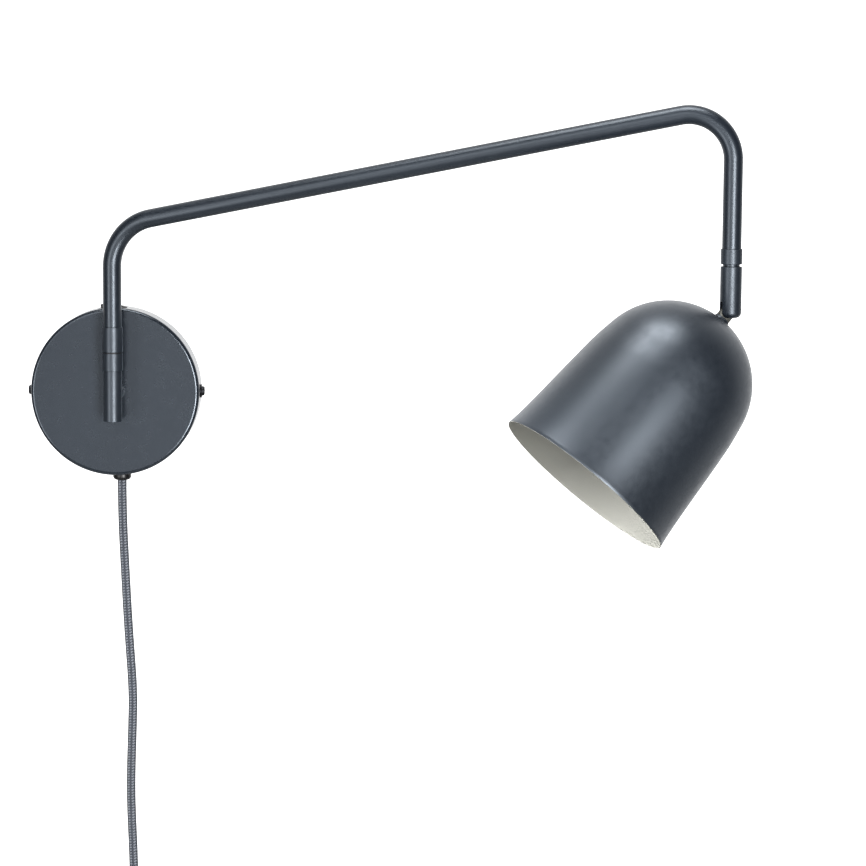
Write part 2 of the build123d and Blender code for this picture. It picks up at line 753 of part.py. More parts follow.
# =================================================================== switch
switch_bottom = canopy_radius - switch_top_depth - switch_height
switch_inner_width = rocker_width + swing_gap
switch_centre = (rocker_centre_x, -lead_depth)

with BuildPart() as switch_body:
    with BuildSketch(Plane.XY.offset(switch_bottom)):
        with Locations(switch_centre):
            Rectangle(switch_window + 2 * switch_wall, switch_inner_width + 2 * switch_wall)
    extrude(amount=switch_height)
    with BuildSketch(Plane.XY.offset(switch_bottom + switch_floor)):
        with Locations(switch_centre):
            Rectangle(switch_window, switch_inner_width)
    extrude(amount=switch_height, mode=Mode.SUBTRACT)
    with BuildSketch(Plane.XZ.offset(lead_depth)):
        with Locations((rocker_centre_x, rocker_pivot_height)):
            Circle(trunnion_dia / 2 + running_gap)
    extrude(
        amount=rocker_width / 2 + trunnion_length + seat_gap, both=True, mode=Mode.SUBTRACT
    )
switch_body.part.label = "switch_body"
export_step(switch_body.part, "parts/switch_body.step")

throw = math.radians(rocker_throw)
# Drawn level in its own plane, which stands turned with the left end up, as shown.
rocker_plane = Plane(
    origin=(rocker_centre_x, -lead_depth, rocker_pivot_height),
    x_dir=(math.cos(throw), 0, -math.sin(throw)),
    z_dir=(0, -1, 0),
)

with BuildPart() as switch_rocker:
    with BuildSketch(rocker_plane):
        with BuildLine():
            rocker_side = Polyline(
                (-rocker_half_length, rocker_end_rise),
                (-rocker_shoulder_half_length, rocker_shoulder_rise),
                (-rocker_root_half_length, -rocker_root_drop),
                (rocker_root_half_length, -rocker_root_drop),
                (rocker_shoulder_half_length, rocker_shoulder_rise),
                (rocker_half_length, rocker_end_rise),
            )
            ThreePointArc(
                rocker_side @ 1, (0, rocker_end_rise + rocker_crown), rocker_side @ 0
            )
        make_face()
    extrude(amount=rocker_width / 2, both=True)
    with BuildSketch(rocker_plane):
        Circle(trunnion_dia / 2)
    extrude(amount=rocker_width / 2 + trunnion_length, both=True)
switch_rocker.part.label = "switch_rocker"
export_step(switch_rocker.part, "parts/switch_rocker.step")

# ========================================================== leads and block
exit_height = -math.sqrt(canopy_radius**2 - cord_exit_x**2)
grip_bottom = exit_height - grip_height
grip_centre = (cord_exit_x, -lead_depth)
lock_reach = abs(cord_exit_x) + grip_lock_dia / 2
lock_bottom = seat_gap - math.sqrt(canopy_inner_radius**2 - lock_reach**2)

with BuildPart() as cord_grip:
    with BuildSketch(Plane.XY.offset(grip_bottom)):
        with Locations(grip_centre):
            Circle(grip_dia / 2)
    extrude(amount=grip_dia)
    fillet(cord_grip.edges().group_by(Axis.Z)[0], radius=grip_end_radius)
    with BuildSketch(Plane.XZ):
        Circle(canopy_radius + seat_gap)
    extrude(amount=canopy_depth, mode=Mode.SUBTRACT)
    with BuildSketch(Plane.XY.offset(grip_bottom + grip_end_radius)):
        with Locations(grip_centre):
            Circle(grip_neck_dia / 2)
    extrude(amount=lock_bottom - grip_bottom - grip_end_radius)
    with BuildSketch(Plane.XY.offset(lock_bottom)):
        with Locations(grip_centre):
            Circle(grip_lock_dia / 2)
    extrude(amount=grip_lock_height)
    with BuildSketch(Plane.XY.offset(grip_bottom)):
        with Locations(grip_centre):
            Circle(inner_lead_dia / 2 + seat_gap)
    extrude(amount=canopy_dia, mode=Mode.SUBTRACT)
cord_grip.part.label = "cord_grip"
export_step(cord_grip.part, "parts/cord_grip.step")

with BuildPart() as canopy_lead:
    with BuildSketch(Plane.XY.offset(grip_bottom)):
        with Locations(grip_centre):
            Circle(inner_lead_dia / 2)
    extrude(amount=block_bottom - grip_bottom)
canopy_lead.part.label = "canopy_lead"
export_step(canopy_lead.part, "parts/canopy_lead.step")

block_front = bracket_thickness + block_depth
block_centre = (cord_exit_x, -block_drop - block_height / 2)
block_hole_depth = block_depth / 3

with BuildPart() as terminal_block:
    with BuildSketch(Plane.XZ.offset(bracket_thickness)):
        with Locations(block_centre):
            Rectangle(block_width, block_height)
    extrude(amount=block_depth)
    with BuildSketch(Plane.XZ.offset(block_front)):
        with Locations(block_centre):
            with GridLocations(block_width / 2, block_height / 2, 2, 2):
                Circle(block_screw_dia / 2 + seat_gap)
    extrude(amount=-block_hole_depth, mode=Mode.SUBTRACT)
terminal_block.part.label = "terminal_block"
export_step(terminal_block.part, "parts/terminal_block.step")

with BuildPart() as block_screws:
    with BuildSketch(Plane.XZ.offset(block_front - block_screw_sunk)):
        with Locations(block_centre):
            with GridLocations(block_width / 2, block_height / 2, 2, 2):
                Circle(block_screw_dia / 2)
    extrude(amount=block_screw_sunk - block_hole_depth)
block_screws.part.label = "block_screws"
export_step(block_screws.part, "parts/block_screws.step")

with BuildPart() as post_lead:
    with BuildLine(Plane.YZ) as post_lead_line:
        FilletPolyline(
            (-post_lead_depth, -block_drop),
            (-post_lead_depth, 0),
            (-pivot_reach, 0),
            (-pivot_reach, spindle_bottom - swing_gap),
            radius=[post_lead_inner_bend, post_lead_bend],
        )
    with BuildSketch(Plane.XY.offset(-block_drop)):
        with Locations((0, -post_lead_depth)):
            Circle(post_lead_dia / 2)
    sweep(path=post_lead_line.line)
post_lead.part.label = "post_lead"
export_step(post_lead.part, "parts/post_lead.step")

# =============================================================== mains cord
coil_centre_x = cord_foot_x - coil_outer_radius
coil_start_height = coil_centre_height + cord_dia
cord_route = [
    (cord_exit_x, -lead_depth, grip_bottom),
    (3.6, -12.5, -88.0),
    (5.4, -12.3, -128.0),
    (7.6, -12.0, -172.0),
    (10.9, -11.7, -219.0),
    (10.3, -11.6, -243.0),
    (9.0, -11.5, -280.0),
    (9.0, -11.4, -303.0),
    (10.6, -11.2, -341.0),
    (cord_foot_x, -coil_layer_depth, -376.0),
    (cord_foot_x, -coil_layer_depth, coil_start_height),
]
bend_share = 0.45  # of the shorter of two runs, taken by the arc between them


def bend_radii(route: list[Vector]) -> list[float]:
    """The radius of the arc at each inner point of a route."""
    radii = []
    for before, here, after in zip(route, route[1:], route[2:]):
        shorter = min((here - before).length, (after - here).length)
        half_turn = math.radians((here - before).get_angle(after - here)) / 2
        radii.append(bend_share * shorter / math.tan(half_turn))
    return radii


route_points = [Vector(point) for point in cord_route]
route_radii = bend_radii(route_points)

with BuildPart() as mains_cord:
    with BuildLine():
        cord_path = FilletPolyline(*route_points, radius=route_radii)
    with BuildSketch(Plane(origin=cord_path @ 0, z_dir=cord_path % 0)):
        Circle(cord_dia / 2)
    sweep(path=cord_path)
mains_cord.part.label = "mains_cord"
export_step(mains_cord.part, "parts/mains_cord.step")

cord_section = math.pi * cord_dia**2 / 4
print("free cord: least radius", round(min(route_radii), 1), "mm,", end=" ")
print("length", round(cord_path.length, 1), "mm,", end=" ")
print("volume over section x length", end=" ")
print(round(mains_cord.part.volume / (cord_section * cord_path.length), 4))


# ===================================================================== coil
def coil_stations() -> list[Vector]:
    """Where the coiled cord crosses the coil's level middle line, every half turn.

    It winds inwards in the first layer and outwards in the next, and so on. It
    climbs to the next layer in the half turn where it turns back, and leaves the
    last layer in a wider half turn that brings it beside the coil.
    """
    half_turns = 2 * coil_turns_in_layer
    radii = [coil_outer_radius - coil_pitch / 2 * step for step in range(half_turns + 1)]
    stations = []
    for layer in range(coil_layers):
        depth = -coil_layer_depth - coil_layer_step * layer
        for radius in radii if layer % 2 == 0 else reversed(radii):
            side = 1 if len(stations) % 2 == 0 else -1
            x = coil_centre_x + side * radius
            stations.append(Vector(x, depth, coil_centre_height))
    last_depth = -coil_layer_depth - coil_layer_step * (coil_layers - 1)
    stations.append(Vector(plug_x, last_depth, coil_centre_height))
    return stations


def half_turn(start: Vector, end: Vector, heading: Vector) -> tuple[Edge, Edge]:
    """Two tangent arcs that turn a heading right round between two stations."""
    reach = (end - start).length / 2
    middle = (start + heading * reach + end + heading * reach) * 0.5
    first = TangentArc(start, middle, tangent=heading)
    second = TangentArc(middle, end, tangent=first % 1)
    return first, second


plug_x = (
    coil_centre_x
    + coil_outer_radius
    + cord_dia / 2
    + plug_thickness / 2
    + plug_coil_gap
)
down = Vector(0, 0, -1)

with BuildPart() as cord_coil:
    with BuildLine() as coil_line:
        stations = coil_stations()
        Line(stations[0] - down * cord_dia, stations[0])
        heading = down
        for start, end in zip(stations, stations[1:]):
            half_turn(start, end, heading)
            heading = heading * -1
        Line(stations[-1], stations[-1] + heading * cord_dia)
    with BuildSketch(Plane(origin=stations[0] - down * cord_dia, z_dir=down)):
        Circle(cord_dia / 2)
    sweep(path=coil_line.line)
cord_coil.part.label = "cord_coil"
export_step(cord_coil.part, "parts/cord_coil.step")


def least_self_gap(line: Wire, diameter: float) -> float:
    """The least gap between two stretches of a tube that are over a half turn apart."""
    count = int(line.length / (diameter / 4))
    apart = int(coil_outer_radius / (diameter / 4))
    points = [line @ (step / count) for step in range(count + 1)]
    least = min(
        (a - b).length
        for index, a in enumerate(points)
        for b in points[index + apart :]
    )
    return least - diameter


coil_path = coil_line.wires()[0]
print("coil: length", round(coil_path.length, 1), "mm, least gap to itself", end=" ")
print(round(least_self_gap(coil_path, cord_dia), 2), "mm,", end=" ")
print("volume over section x length", end=" ")
print(round(cord_coil.part.volume / (cord_section * coil_path.length), 4))

# The tie is a band round the turns at the coil's left side.
coil_inner_radius = coil_outer_radius - coil_pitch * coil_turns_in_layer
bundle_width = coil_outer_radius - coil_inner_radius + cord_dia - 2 * tie_squeeze
bundle_depth = coil_layer_step * (coil_layers - 1) + cord_dia - 2 * tie_squeeze
tie_centre = (
    coil_centre_x - (coil_outer_radius + coil_inner_radius) / 2,
    -coil_layer_depth - coil_layer_step * (coil_layers - 1) / 2,
)

with BuildPart() as coil_tie:
    with BuildSketch(Plane.XY.offset(coil_centre_height)):
        with Locations(tie_centre):
            RectangleRounded(
                bundle_width + 2 * tie_thickness,
                bundle_depth + 2 * tie_thickness,
                tie_corner_radius,
            )
            RectangleRounded(
                bundle_width,
                bundle_depth,
                tie_corner_radius - tie_thickness,
                mode=Mode.SUBTRACT,
            )
    extrude(amount=tie_width / 2, both=True)
coil_tie.part.label = "coil_tie"
export_step(coil_tie.part, "parts/coil_tie.step")

# ===================================================================== plug
plug_top = coil_centre_height - cord_dia
plug_depth = -coil_layer_depth - coil_layer_step * (coil_layers - 1)
plug_shoulder = plug_top - plug_relief_length
plug_face = plug_shoulder - plug_taper_length - plug_face_length
plug_plane = Plane(origin=(plug_x, plug_depth, 0), x_dir=(0, 1, 0), z_dir=(1, 0, 0))

with BuildPart() as plug_body:
    with BuildSketch(plug_plane):
        with BuildLine():
            Polyline(
                (-plug_width / 2, plug_face),
                (plug_width / 2, plug_face),
                (plug_width / 2, plug_face + plug_face_length),
                (plug_shoulder_width / 2, plug_shoulder),
                (-plug_shoulder_width / 2, plug_shoulder),
                (-plug_width / 2, plug_face + plug_face_length),
                close=True,
            )
        make_face()
    extrude(amount=plug_thickness / 2, both=True)
    fillet(plug_body.edges().filter_by(GeomType.LINE), radius=plug_edge_radius)
    relief_plane = Plane(origin=(plug_x, plug_depth, plug_top), z_dir=(0, 0, -1))
    with BuildSketch(relief_plane):
        Circle(plug_relief_dia / 2)
    with BuildSketch(relief_plane.offset(plug_relief_length + plug_edge_radius)):
        Circle(plug_thickness / 2 - plug_edge_radius)
    loft()
    with BuildSketch(level_plane(Vector(plug_x, plug_depth, 0), plug_face)):
        with GridLocations(1, plug_pin_spacing, 1, 2):
            Circle(plug_pin_root_dia / 2 + seat_gap)
    extrude(amount=plug_pin_inside + seat_gap, mode=Mode.SUBTRACT)
plug_body.part.label = "plug_body"
export_step(plug_body.part, "parts/plug_body.step")

with BuildPart() as plug_pins:
    with BuildSketch(level_plane(Vector(plug_x, plug_depth, 0), plug_face - plug_pin_length)):
        with GridLocations(1, plug_pin_spacing, 1, 2):
            Circle(plug_pin_dia / 2)
    extrude(amount=plug_pin_length)
    fillet(plug_pins.edges().group_by(Axis.Z)[0], radius=plug_pin_dia / 4)
    with BuildSketch(level_plane(Vector(plug_x, plug_depth, 0), plug_face)):
        with GridLocations(1, plug_pin_spacing, 1, 2):
            Circle(plug_pin_root_dia / 2)
    extrude(amount=plug_pin_inside)
plug_pins.part.label = "plug_pins"
export_step(plug_pins.part, "parts/plug_pins.step")
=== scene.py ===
"""A swing-arm wall lamp with a bell shade and a textile lead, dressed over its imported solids.

Sizes in the classes are in millimetres, as a maker reads them. Everything that reaches
Blender is in metres, in the frame of the solids: the wall is y = 0, +X runs right along
it and +Z is up.
"""

import logging
import math
from contextlib import contextmanager
from dataclasses import dataclass, field
from enum import Enum
from typing import Callable, Iterator, Sequence

import bmesh
import bpy
from mathutils import Matrix, Vector


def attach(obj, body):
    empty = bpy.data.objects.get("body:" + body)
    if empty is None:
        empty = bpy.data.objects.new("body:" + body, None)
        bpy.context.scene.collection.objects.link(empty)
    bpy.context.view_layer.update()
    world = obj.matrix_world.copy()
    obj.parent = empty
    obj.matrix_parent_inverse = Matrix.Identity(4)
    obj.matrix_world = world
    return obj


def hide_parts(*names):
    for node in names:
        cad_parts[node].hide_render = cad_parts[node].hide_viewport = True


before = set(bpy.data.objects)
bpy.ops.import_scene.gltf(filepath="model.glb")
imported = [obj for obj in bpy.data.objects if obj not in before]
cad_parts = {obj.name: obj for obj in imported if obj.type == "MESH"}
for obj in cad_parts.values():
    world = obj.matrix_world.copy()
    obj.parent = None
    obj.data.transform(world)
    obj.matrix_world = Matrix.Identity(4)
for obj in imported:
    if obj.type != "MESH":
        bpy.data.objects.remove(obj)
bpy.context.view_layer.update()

MM = 0.001
HALF_TURN = math.pi
FULL_TURN = math.tau
FACING = 0.9  # the least share of a normal that points the way a chosen face has to
NOISE_LOW, NOISE_HIGH = 0.3, 0.7  # the ends of the range in which a noise's values lie
LOG = logging.getLogger("wall_lamp")

Line = list[tuple[float, float]]
Triple = tuple[float, float, float]
Colour = Triple
Piece = bpy.types.Object
Node = bpy.types.Node
Material = bpy.types.Material


class Body(Enum):
    """The moving bodies that pieces ride on."""

    WALL = "wall_mount"
    ARM = "arm"
    KNUCKLE = "knuckle"
    SHADE = "shade"
    ROCKER = "rocker"


class Slot(Enum):
    """The record's finishes that a piece may take."""

    ARM_PAINT = "arm_paint"
    SHADE_PAINT = "shade_paint"
    BRASS = "bare_brass"
    ZINC = "zinc_steel"
    SCREW_BLACK = "screw_black"
    NYLON = "nylon"
    BLACK_PLASTIC = "black_plastic"
    ROCKER_BLACK = "rocker_black"
    LEAD_SHEATH = "lead_sheath"
    BLOCK_PLASTIC = "block_plastic"
    HOLDER_PLASTIC = "holder_plastic"
    HOLDER_CERAMIC = "holder_ceramic"
    CONTACT_BRASS = "contact_brass"
    BRAID = "braid"
    TIE_BAND = "tie_band"
    PIN_NICKEL = "pin_nickel"


# ------------ shared places
@dataclass(frozen=True)
class Places:
    """Where the lamp's sub-assemblies meet, in millimetres, as the solids have it."""

    canopy_radius: float = 60.0
    canopy_depth: float = 25.0
    pivot_reach: float = 39.0
    tube_radius: float = 6.5
    collar_radius: float = 7.25
    arm_reach: float = 435.9
    arm_swing: float = 12.3
    drop_sleeve_bottom: float = 100.6
    knuckle_top: float = 99.0
    knuckle_bottom: float = 64.5
    tilt_height: float = 70.5
    shade_azimuth: float = 18.7
    shade_tilt: float = 41.9
    gap: float = 0.05

    @property
    def pivot(self) -> Vector:
        """The foot of the arm's swing axis."""
        return Vector((0.0, -self.pivot_reach, 0.0))

    @property
    def arm_direction(self) -> Vector:
        """The level direction in which the arm stands out."""
        swing = math.radians(self.arm_swing)
        return Vector((math.cos(swing), -math.sin(swing), 0.0))

    @property
    def drop(self) -> Vector:
        """The foot of the upright axis at the arm's end."""
        return self.pivot + self.arm_direction * self.arm_reach

    @property
    def tilt_pivot(self) -> Vector:
        """The middle of the pin on which the shade tilts."""
        return self.drop + Vector((0.0, 0.0, self.tilt_height))

    @property
    def lean(self) -> Vector:
        """The level direction towards which the shade leans."""
        azimuth = math.radians(self.shade_azimuth)
        return Vector((-math.cos(azimuth), -math.sin(azimuth), 0.0))

    @property
    def slot_normal(self) -> Vector:
        """The direction of the tilt pin, square to the knuckle's slot."""
        return self.lean.cross(Vector((0.0, 0.0, 1.0)))

    @property
    def shade_direction(self) -> Vector:
        """The shade's axis, out of its mouth."""
        tilt = math.radians(self.shade_tilt)
        return self.lean * math.sin(tilt) - Vector((0.0, 0.0, math.cos(tilt)))


PLACES = Places()
UP = Vector((0.0, 0.0, 1.0))
OUT = Vector((0.0, -1.0, 0.0))
RIGHT = Vector((1.0, 0.0, 0.0))


# ------------ profile lines
def arc(
    centre: tuple[float, float], radius: float, start: float, end: float, steps: int
) -> Line:
    """List the points of an arc for a profile.

    Args:
        centre: The arc's centre, along the axis and out from it.
        radius: Its radius.
        start: The first point's angle in degrees, from the axis's direction.
        end: The last point's angle in degrees.
        steps: How many chords it has.

    Returns:
        The points, both ends included.
    """
    points = []
    for step in range(steps + 1):
        angle = math.radians(start + (end - start) * step / steps)
        points.append(
            (centre[0] + radius * math.cos(angle), centre[1] + radius * math.sin(angle))
        )
    return points


def thread(start: float, end: float, crest: float, pitch: float, depth: float) -> Line:
    """List the points of a cut thread's outline along a turned shank.

    Args:
        start: Where the thread begins, along the axis.
        end: Where it ends.
        crest: The crests' radius.
        pitch: The run from crest to crest.
        depth: How deep the roots lie.

    Returns:
        The points from start to end.
    """
    count = max(1, round(abs(end - start) / pitch))
    run = (end - start) / count
    points = [(start, crest - depth)]
    for turn in range(count):
        here = start + run * turn
        points += [
            (here + run * 0.35, crest),
            (here + run * 0.65, crest),
            (here + run, crest - depth),
        ]
    return points


# ------------ bench
class Bench:
    """The workbench: one mesh at a time is selected, shaped and finished on it."""

    @staticmethod
    def clear() -> None:
        """Leave edit mode and deselect everything."""
        if bpy.context.object is not None and bpy.context.object.mode != "OBJECT":
            bpy.ops.object.mode_set(mode="OBJECT")
        bpy.ops.object.select_all(action="DESELECT")

    @staticmethod
    def pick(*things: Piece) -> None:
        """Select only these objects and make the last one active.

        Args:
            things: The objects.
        """
        Bench.clear()
        for thing in things:
            thing.select_set(True)
        bpy.context.view_layer.objects.active = things[-1]

    @staticmethod
    def fresh(name: str) -> Piece:
        """Name the primitive just added and apply its place.

        Args:
            name: The piece's name.

        Returns:
            The primitive's object, at the origin.
        """
        thing = bpy.context.object
        thing.name = name
        thing.data.name = name
        bpy.ops.object.transform_apply(location=True, rotation=True, scale=True)
        return thing

    @staticmethod
    @contextmanager
    def editing(thing: Piece, kind: str = "VERT") -> Iterator[None]:
        """Open a mesh in edit mode, with all of it selected.

        Args:
            thing: The object.
            kind: What is selected on it, VERT, EDGE or FACE.

        Yields:
            Nothing, while the mesh is open.
        """
        Bench.pick(thing)
        bpy.ops.object.mode_set(mode="EDIT")
        bpy.ops.mesh.select_mode(type=kind)
        bpy.ops.mesh.select_all(action="SELECT")
        yield
        bpy.ops.object.mode_set(mode="OBJECT")

    @staticmethod
    def choose_faces(test: Callable[[Vector, Vector], bool]) -> None:
        """Select the open mesh's faces by their place and normal.

        Args:
            test: Says from a face's centre, in metres, and its normal whether it is meant.
        """
        bpy.ops.mesh.select_mode(type="FACE")
        mesh = bmesh.from_edit_mesh(bpy.context.object.data)
        for face in mesh.faces:
            face.select_set(test(face.calc_center_median(), face.normal))
        bmesh.update_edit_mesh(bpy.context.object.data)

    @staticmethod
    def choose_edges(test: Callable[[Vector, Vector], bool]) -> None:
        """Select the open mesh's edges by their two ends.

        Args:
            test: Says from an edge's ends, in metres, whether it is meant.
        """
        bpy.ops.mesh.select_mode(type="EDGE")
        mesh = bmesh.from_edit_mesh(bpy.context.object.data)
        chosen = [edge for edge in mesh.edges if test(edge.verts[0].co, edge.verts[1].co)]
        for edge in mesh.edges:
            edge.select_set(False)
        for edge in chosen:
            edge.select_set(True)
        bmesh.update_edit_mesh(bpy.context.object.data)

    @staticmethod
    def close_up(width: float = 1e-6) -> None:
        """Merge the open mesh's doubles and turn its faces outwards.

        Args:
            width: How near to each other, in metres, two points are one.
        """
        bpy.ops.mesh.select_all(action="SELECT")
        bpy.ops.mesh.remove_doubles(threshold=width)
        bpy.ops.mesh.normals_make_consistent(inside=False)

    @staticmethod
    def line(name: str, points: Sequence[Vector]) -> Piece:
        """Draw a chain of edges: one vertex, extruded from point to point.

        Args:
            name: The piece's name.
            points: The points in metres.

        Returns:
            The object, a chain of edges.
        """
        Bench.clear()
        bpy.ops.mesh.primitive_plane_add(size=MM, location=points[0])
        thing = Bench.fresh(name)
        with Bench.editing(thing):
            bpy.ops.mesh.merge(type="CENTER")
            for before, here in zip(points, points[1:]):
                bpy.ops.mesh.extrude_vertices_move(
                    TRANSFORM_OT_translate={"value": here - before}
                )
        return thing

    @staticmethod
    def turn(
        name: str, profile: Line, centre: Vector, axis: Vector, steps: int = 96,
        closed: bool = True,
    ) -> Piece:
        """Turn a piece on the lathe: its profile's line is spun round an axis.

        Args:
            name: The piece's name.
            profile: The profile's points, along the axis and out from it, in millimetres.
            centre: The axis's start in millimetres.
            axis: The axis's direction.
            steps: How many facets go round.
            closed: Whether the profile runs back to its first point.

        Returns:
            The turned object.
        """
        side = Bench.side_of(axis)
        points = [
            (centre + axis * along + side * out) * MM
            for along, out in (list(profile) + list(profile[:1]) if closed else profile)
        ]
        thing = Bench.line(name, points)
        with Bench.editing(thing):
            bpy.ops.mesh.spin(
                steps=steps, angle=FULL_TURN, use_auto_merge=True, center=centre * MM, axis=axis
            )
            Bench.close_up()
        return thing

    @staticmethod
    def side_of(axis: Vector) -> Vector:
        """Give a direction square to an axis."""
        return axis.orthogonal().normalized()

    @staticmethod
    def block(
        name: str, centre: Vector, sizes: Sequence[float], sideways: Vector, upright: Vector
    ) -> Piece:
        """Add a box of a size, turned to two directions.

        Args:
            name: The piece's name.
            centre: Its middle in millimetres.
            sizes: Its three sides in millimetres.
            sideways: The direction of its first side.
            upright: The direction of its third side.

        Returns:
            The box.
        """
        turned = Matrix((sideways, upright.cross(sideways), upright)).transposed()
        Bench.clear()
        bpy.ops.mesh.primitive_cube_add(
            size=1.0,
            location=centre * MM,
            rotation=turned.to_euler(),
            scale=[size * MM for size in sizes],
        )
        return Bench.fresh(name)

    @staticmethod
    def rod(
        name: str, centre: Vector, axis: Vector, radius: float, length: float, steps: int = 96
    ) -> Piece:
        """Add a round bar to cut with.

        Args:
            name: The piece's name.
            centre: Its middle in millimetres.
            axis: Its direction.
            radius: Its radius in millimetres.
            length: Its length in millimetres.
            steps: How many facets go round.

        Returns:
            The bar.
        """
        Bench.clear()
        bpy.ops.mesh.primitive_cylinder_add(
            vertices=steps,
            radius=radius * MM,
            depth=length * MM,
            location=centre * MM,
            rotation=axis.to_track_quat("Z", "Y").to_euler(),
        )
        return Bench.fresh(name)

    @staticmethod
    def apply(thing: Piece, kind: str, **settings: object) -> None:
        """Put one modifier on a piece and apply it.

        Args:
            thing: The piece.
            kind: The modifier's type.
            settings: Its properties by name.
        """
        modifier = thing.modifiers.new(kind, kind)
        for name, value in settings.items():
            setattr(modifier, name, value)
        Bench.pick(thing)
        bpy.ops.object.modifier_apply(modifier=modifier.name)

    @staticmethod
    def cut(thing: Piece, tool: Piece, way: str = "DIFFERENCE") -> None:
        """Cut a piece with a tool piece, which is used up.

        Args:
            thing: The piece.
            tool: The tool, a closed mesh.
            way: The kind of cut, DIFFERENCE, UNION or INTERSECT.
        """
        Bench.apply(thing, "BOOLEAN", operation=way, solver="EXACT", object=tool)
        Bench.pick(tool)
        bpy.ops.object.delete()

    @staticmethod
    def ease(thing: Piece, width: float, segments: int = 2, corner: float = 40.0) -> None:
        """Round a piece's sharp edges.

        Args:
            thing: The piece.
            width: The rounding's width in millimetres.
            segments: How many faces it has.
            corner: The least corner in degrees that is rounded.
        """
        Bench.apply(
            thing, "BEVEL", width=width * MM, segments=segments, limit_method="ANGLE",
            angle_limit=math.radians(corner), use_clamp_overlap=True,
        )

    @staticmethod
    def smooth(thing: Piece, corner: float = 35.0) -> None:
        """Shade a piece smooth, apart from its corners.

        Args:
            thing: The piece.
            corner: The least corner in degrees that stays sharp.
        """
        Bench.pick(thing)
        bpy.ops.object.shade_smooth_by_angle(angle=math.radians(corner))

    @staticmethod
    def weigh(thing: Piece) -> None:
        """Let a piece's large faces lead its shading.

        Args:
            thing: The piece.
        """
        Bench.apply(thing, "WEIGHTED_NORMAL", keep_sharp=True)

    @staticmethod
    def join(name: str, *things: Piece) -> Piece:
        """Join pieces that are one part.

        Args:
            name: The joined piece's name.
            things: The pieces.

        Returns:
            The joined piece.
        """
        Bench.pick(*things)
        bpy.ops.object.join()
        whole = bpy.context.object
        whole.name = name
        whole.data.name = name
        return whole

    @staticmethod
    def copy(name: str, thing: Piece, move: Matrix) -> Piece:
        """Copy a piece, with its own mesh, to another place.

        Args:
            name: The copy's name.
            thing: The piece.
            move: Where the copy goes, in metres, from where the piece is.

        Returns:
            The copy, at the origin.
        """
        Bench.pick(thing)
        bpy.ops.object.duplicate(linked=False)
        twin = bpy.context.object
        twin.matrix_world = move
        bpy.ops.object.transform_apply(location=True, rotation=True, scale=True)
        twin.name = name
        twin.data.name = name
        return twin


# ------------ finishes
class Nodes:
    """A node tree, with short calls to add and join its nodes."""

    def __init__(self, owner: Material | bpy.types.World) -> None:
        """Start from an empty tree.

        Args:
            owner: The material or the world that the tree is for.
        """
        owner.use_nodes = True
        self.tree = owner.node_tree
        self.tree.nodes.clear()

    def add(self, kind: str, **settings: object) -> Node:
        """Add a node.

        Args:
            kind: The node's type, without the ShaderNode that they all begin with.
            settings: Its properties by name.

        Returns:
            The node.
        """
        node = self.tree.nodes.new(f"ShaderNode{kind}")
        for name, value in settings.items():
            setattr(node, name, value)
        return node

    def join(self, source: Node, output: str | int, target: Node, place: str | int) -> None:
        """Join an output of one node to an input of another."""
        self.tree.links.new(source.outputs[output], target.inputs[place])

    def feed(self, node: Node, **values: object) -> Node:
        """Set a node's inputs, their names written with underscores.

        Args:
            node: The node.
            values: The inputs' values by name.

        Returns:
            The node.
        """
        for name, value in values.items():
            node.inputs[name.replace("_", " ")].default_value = value
        return node


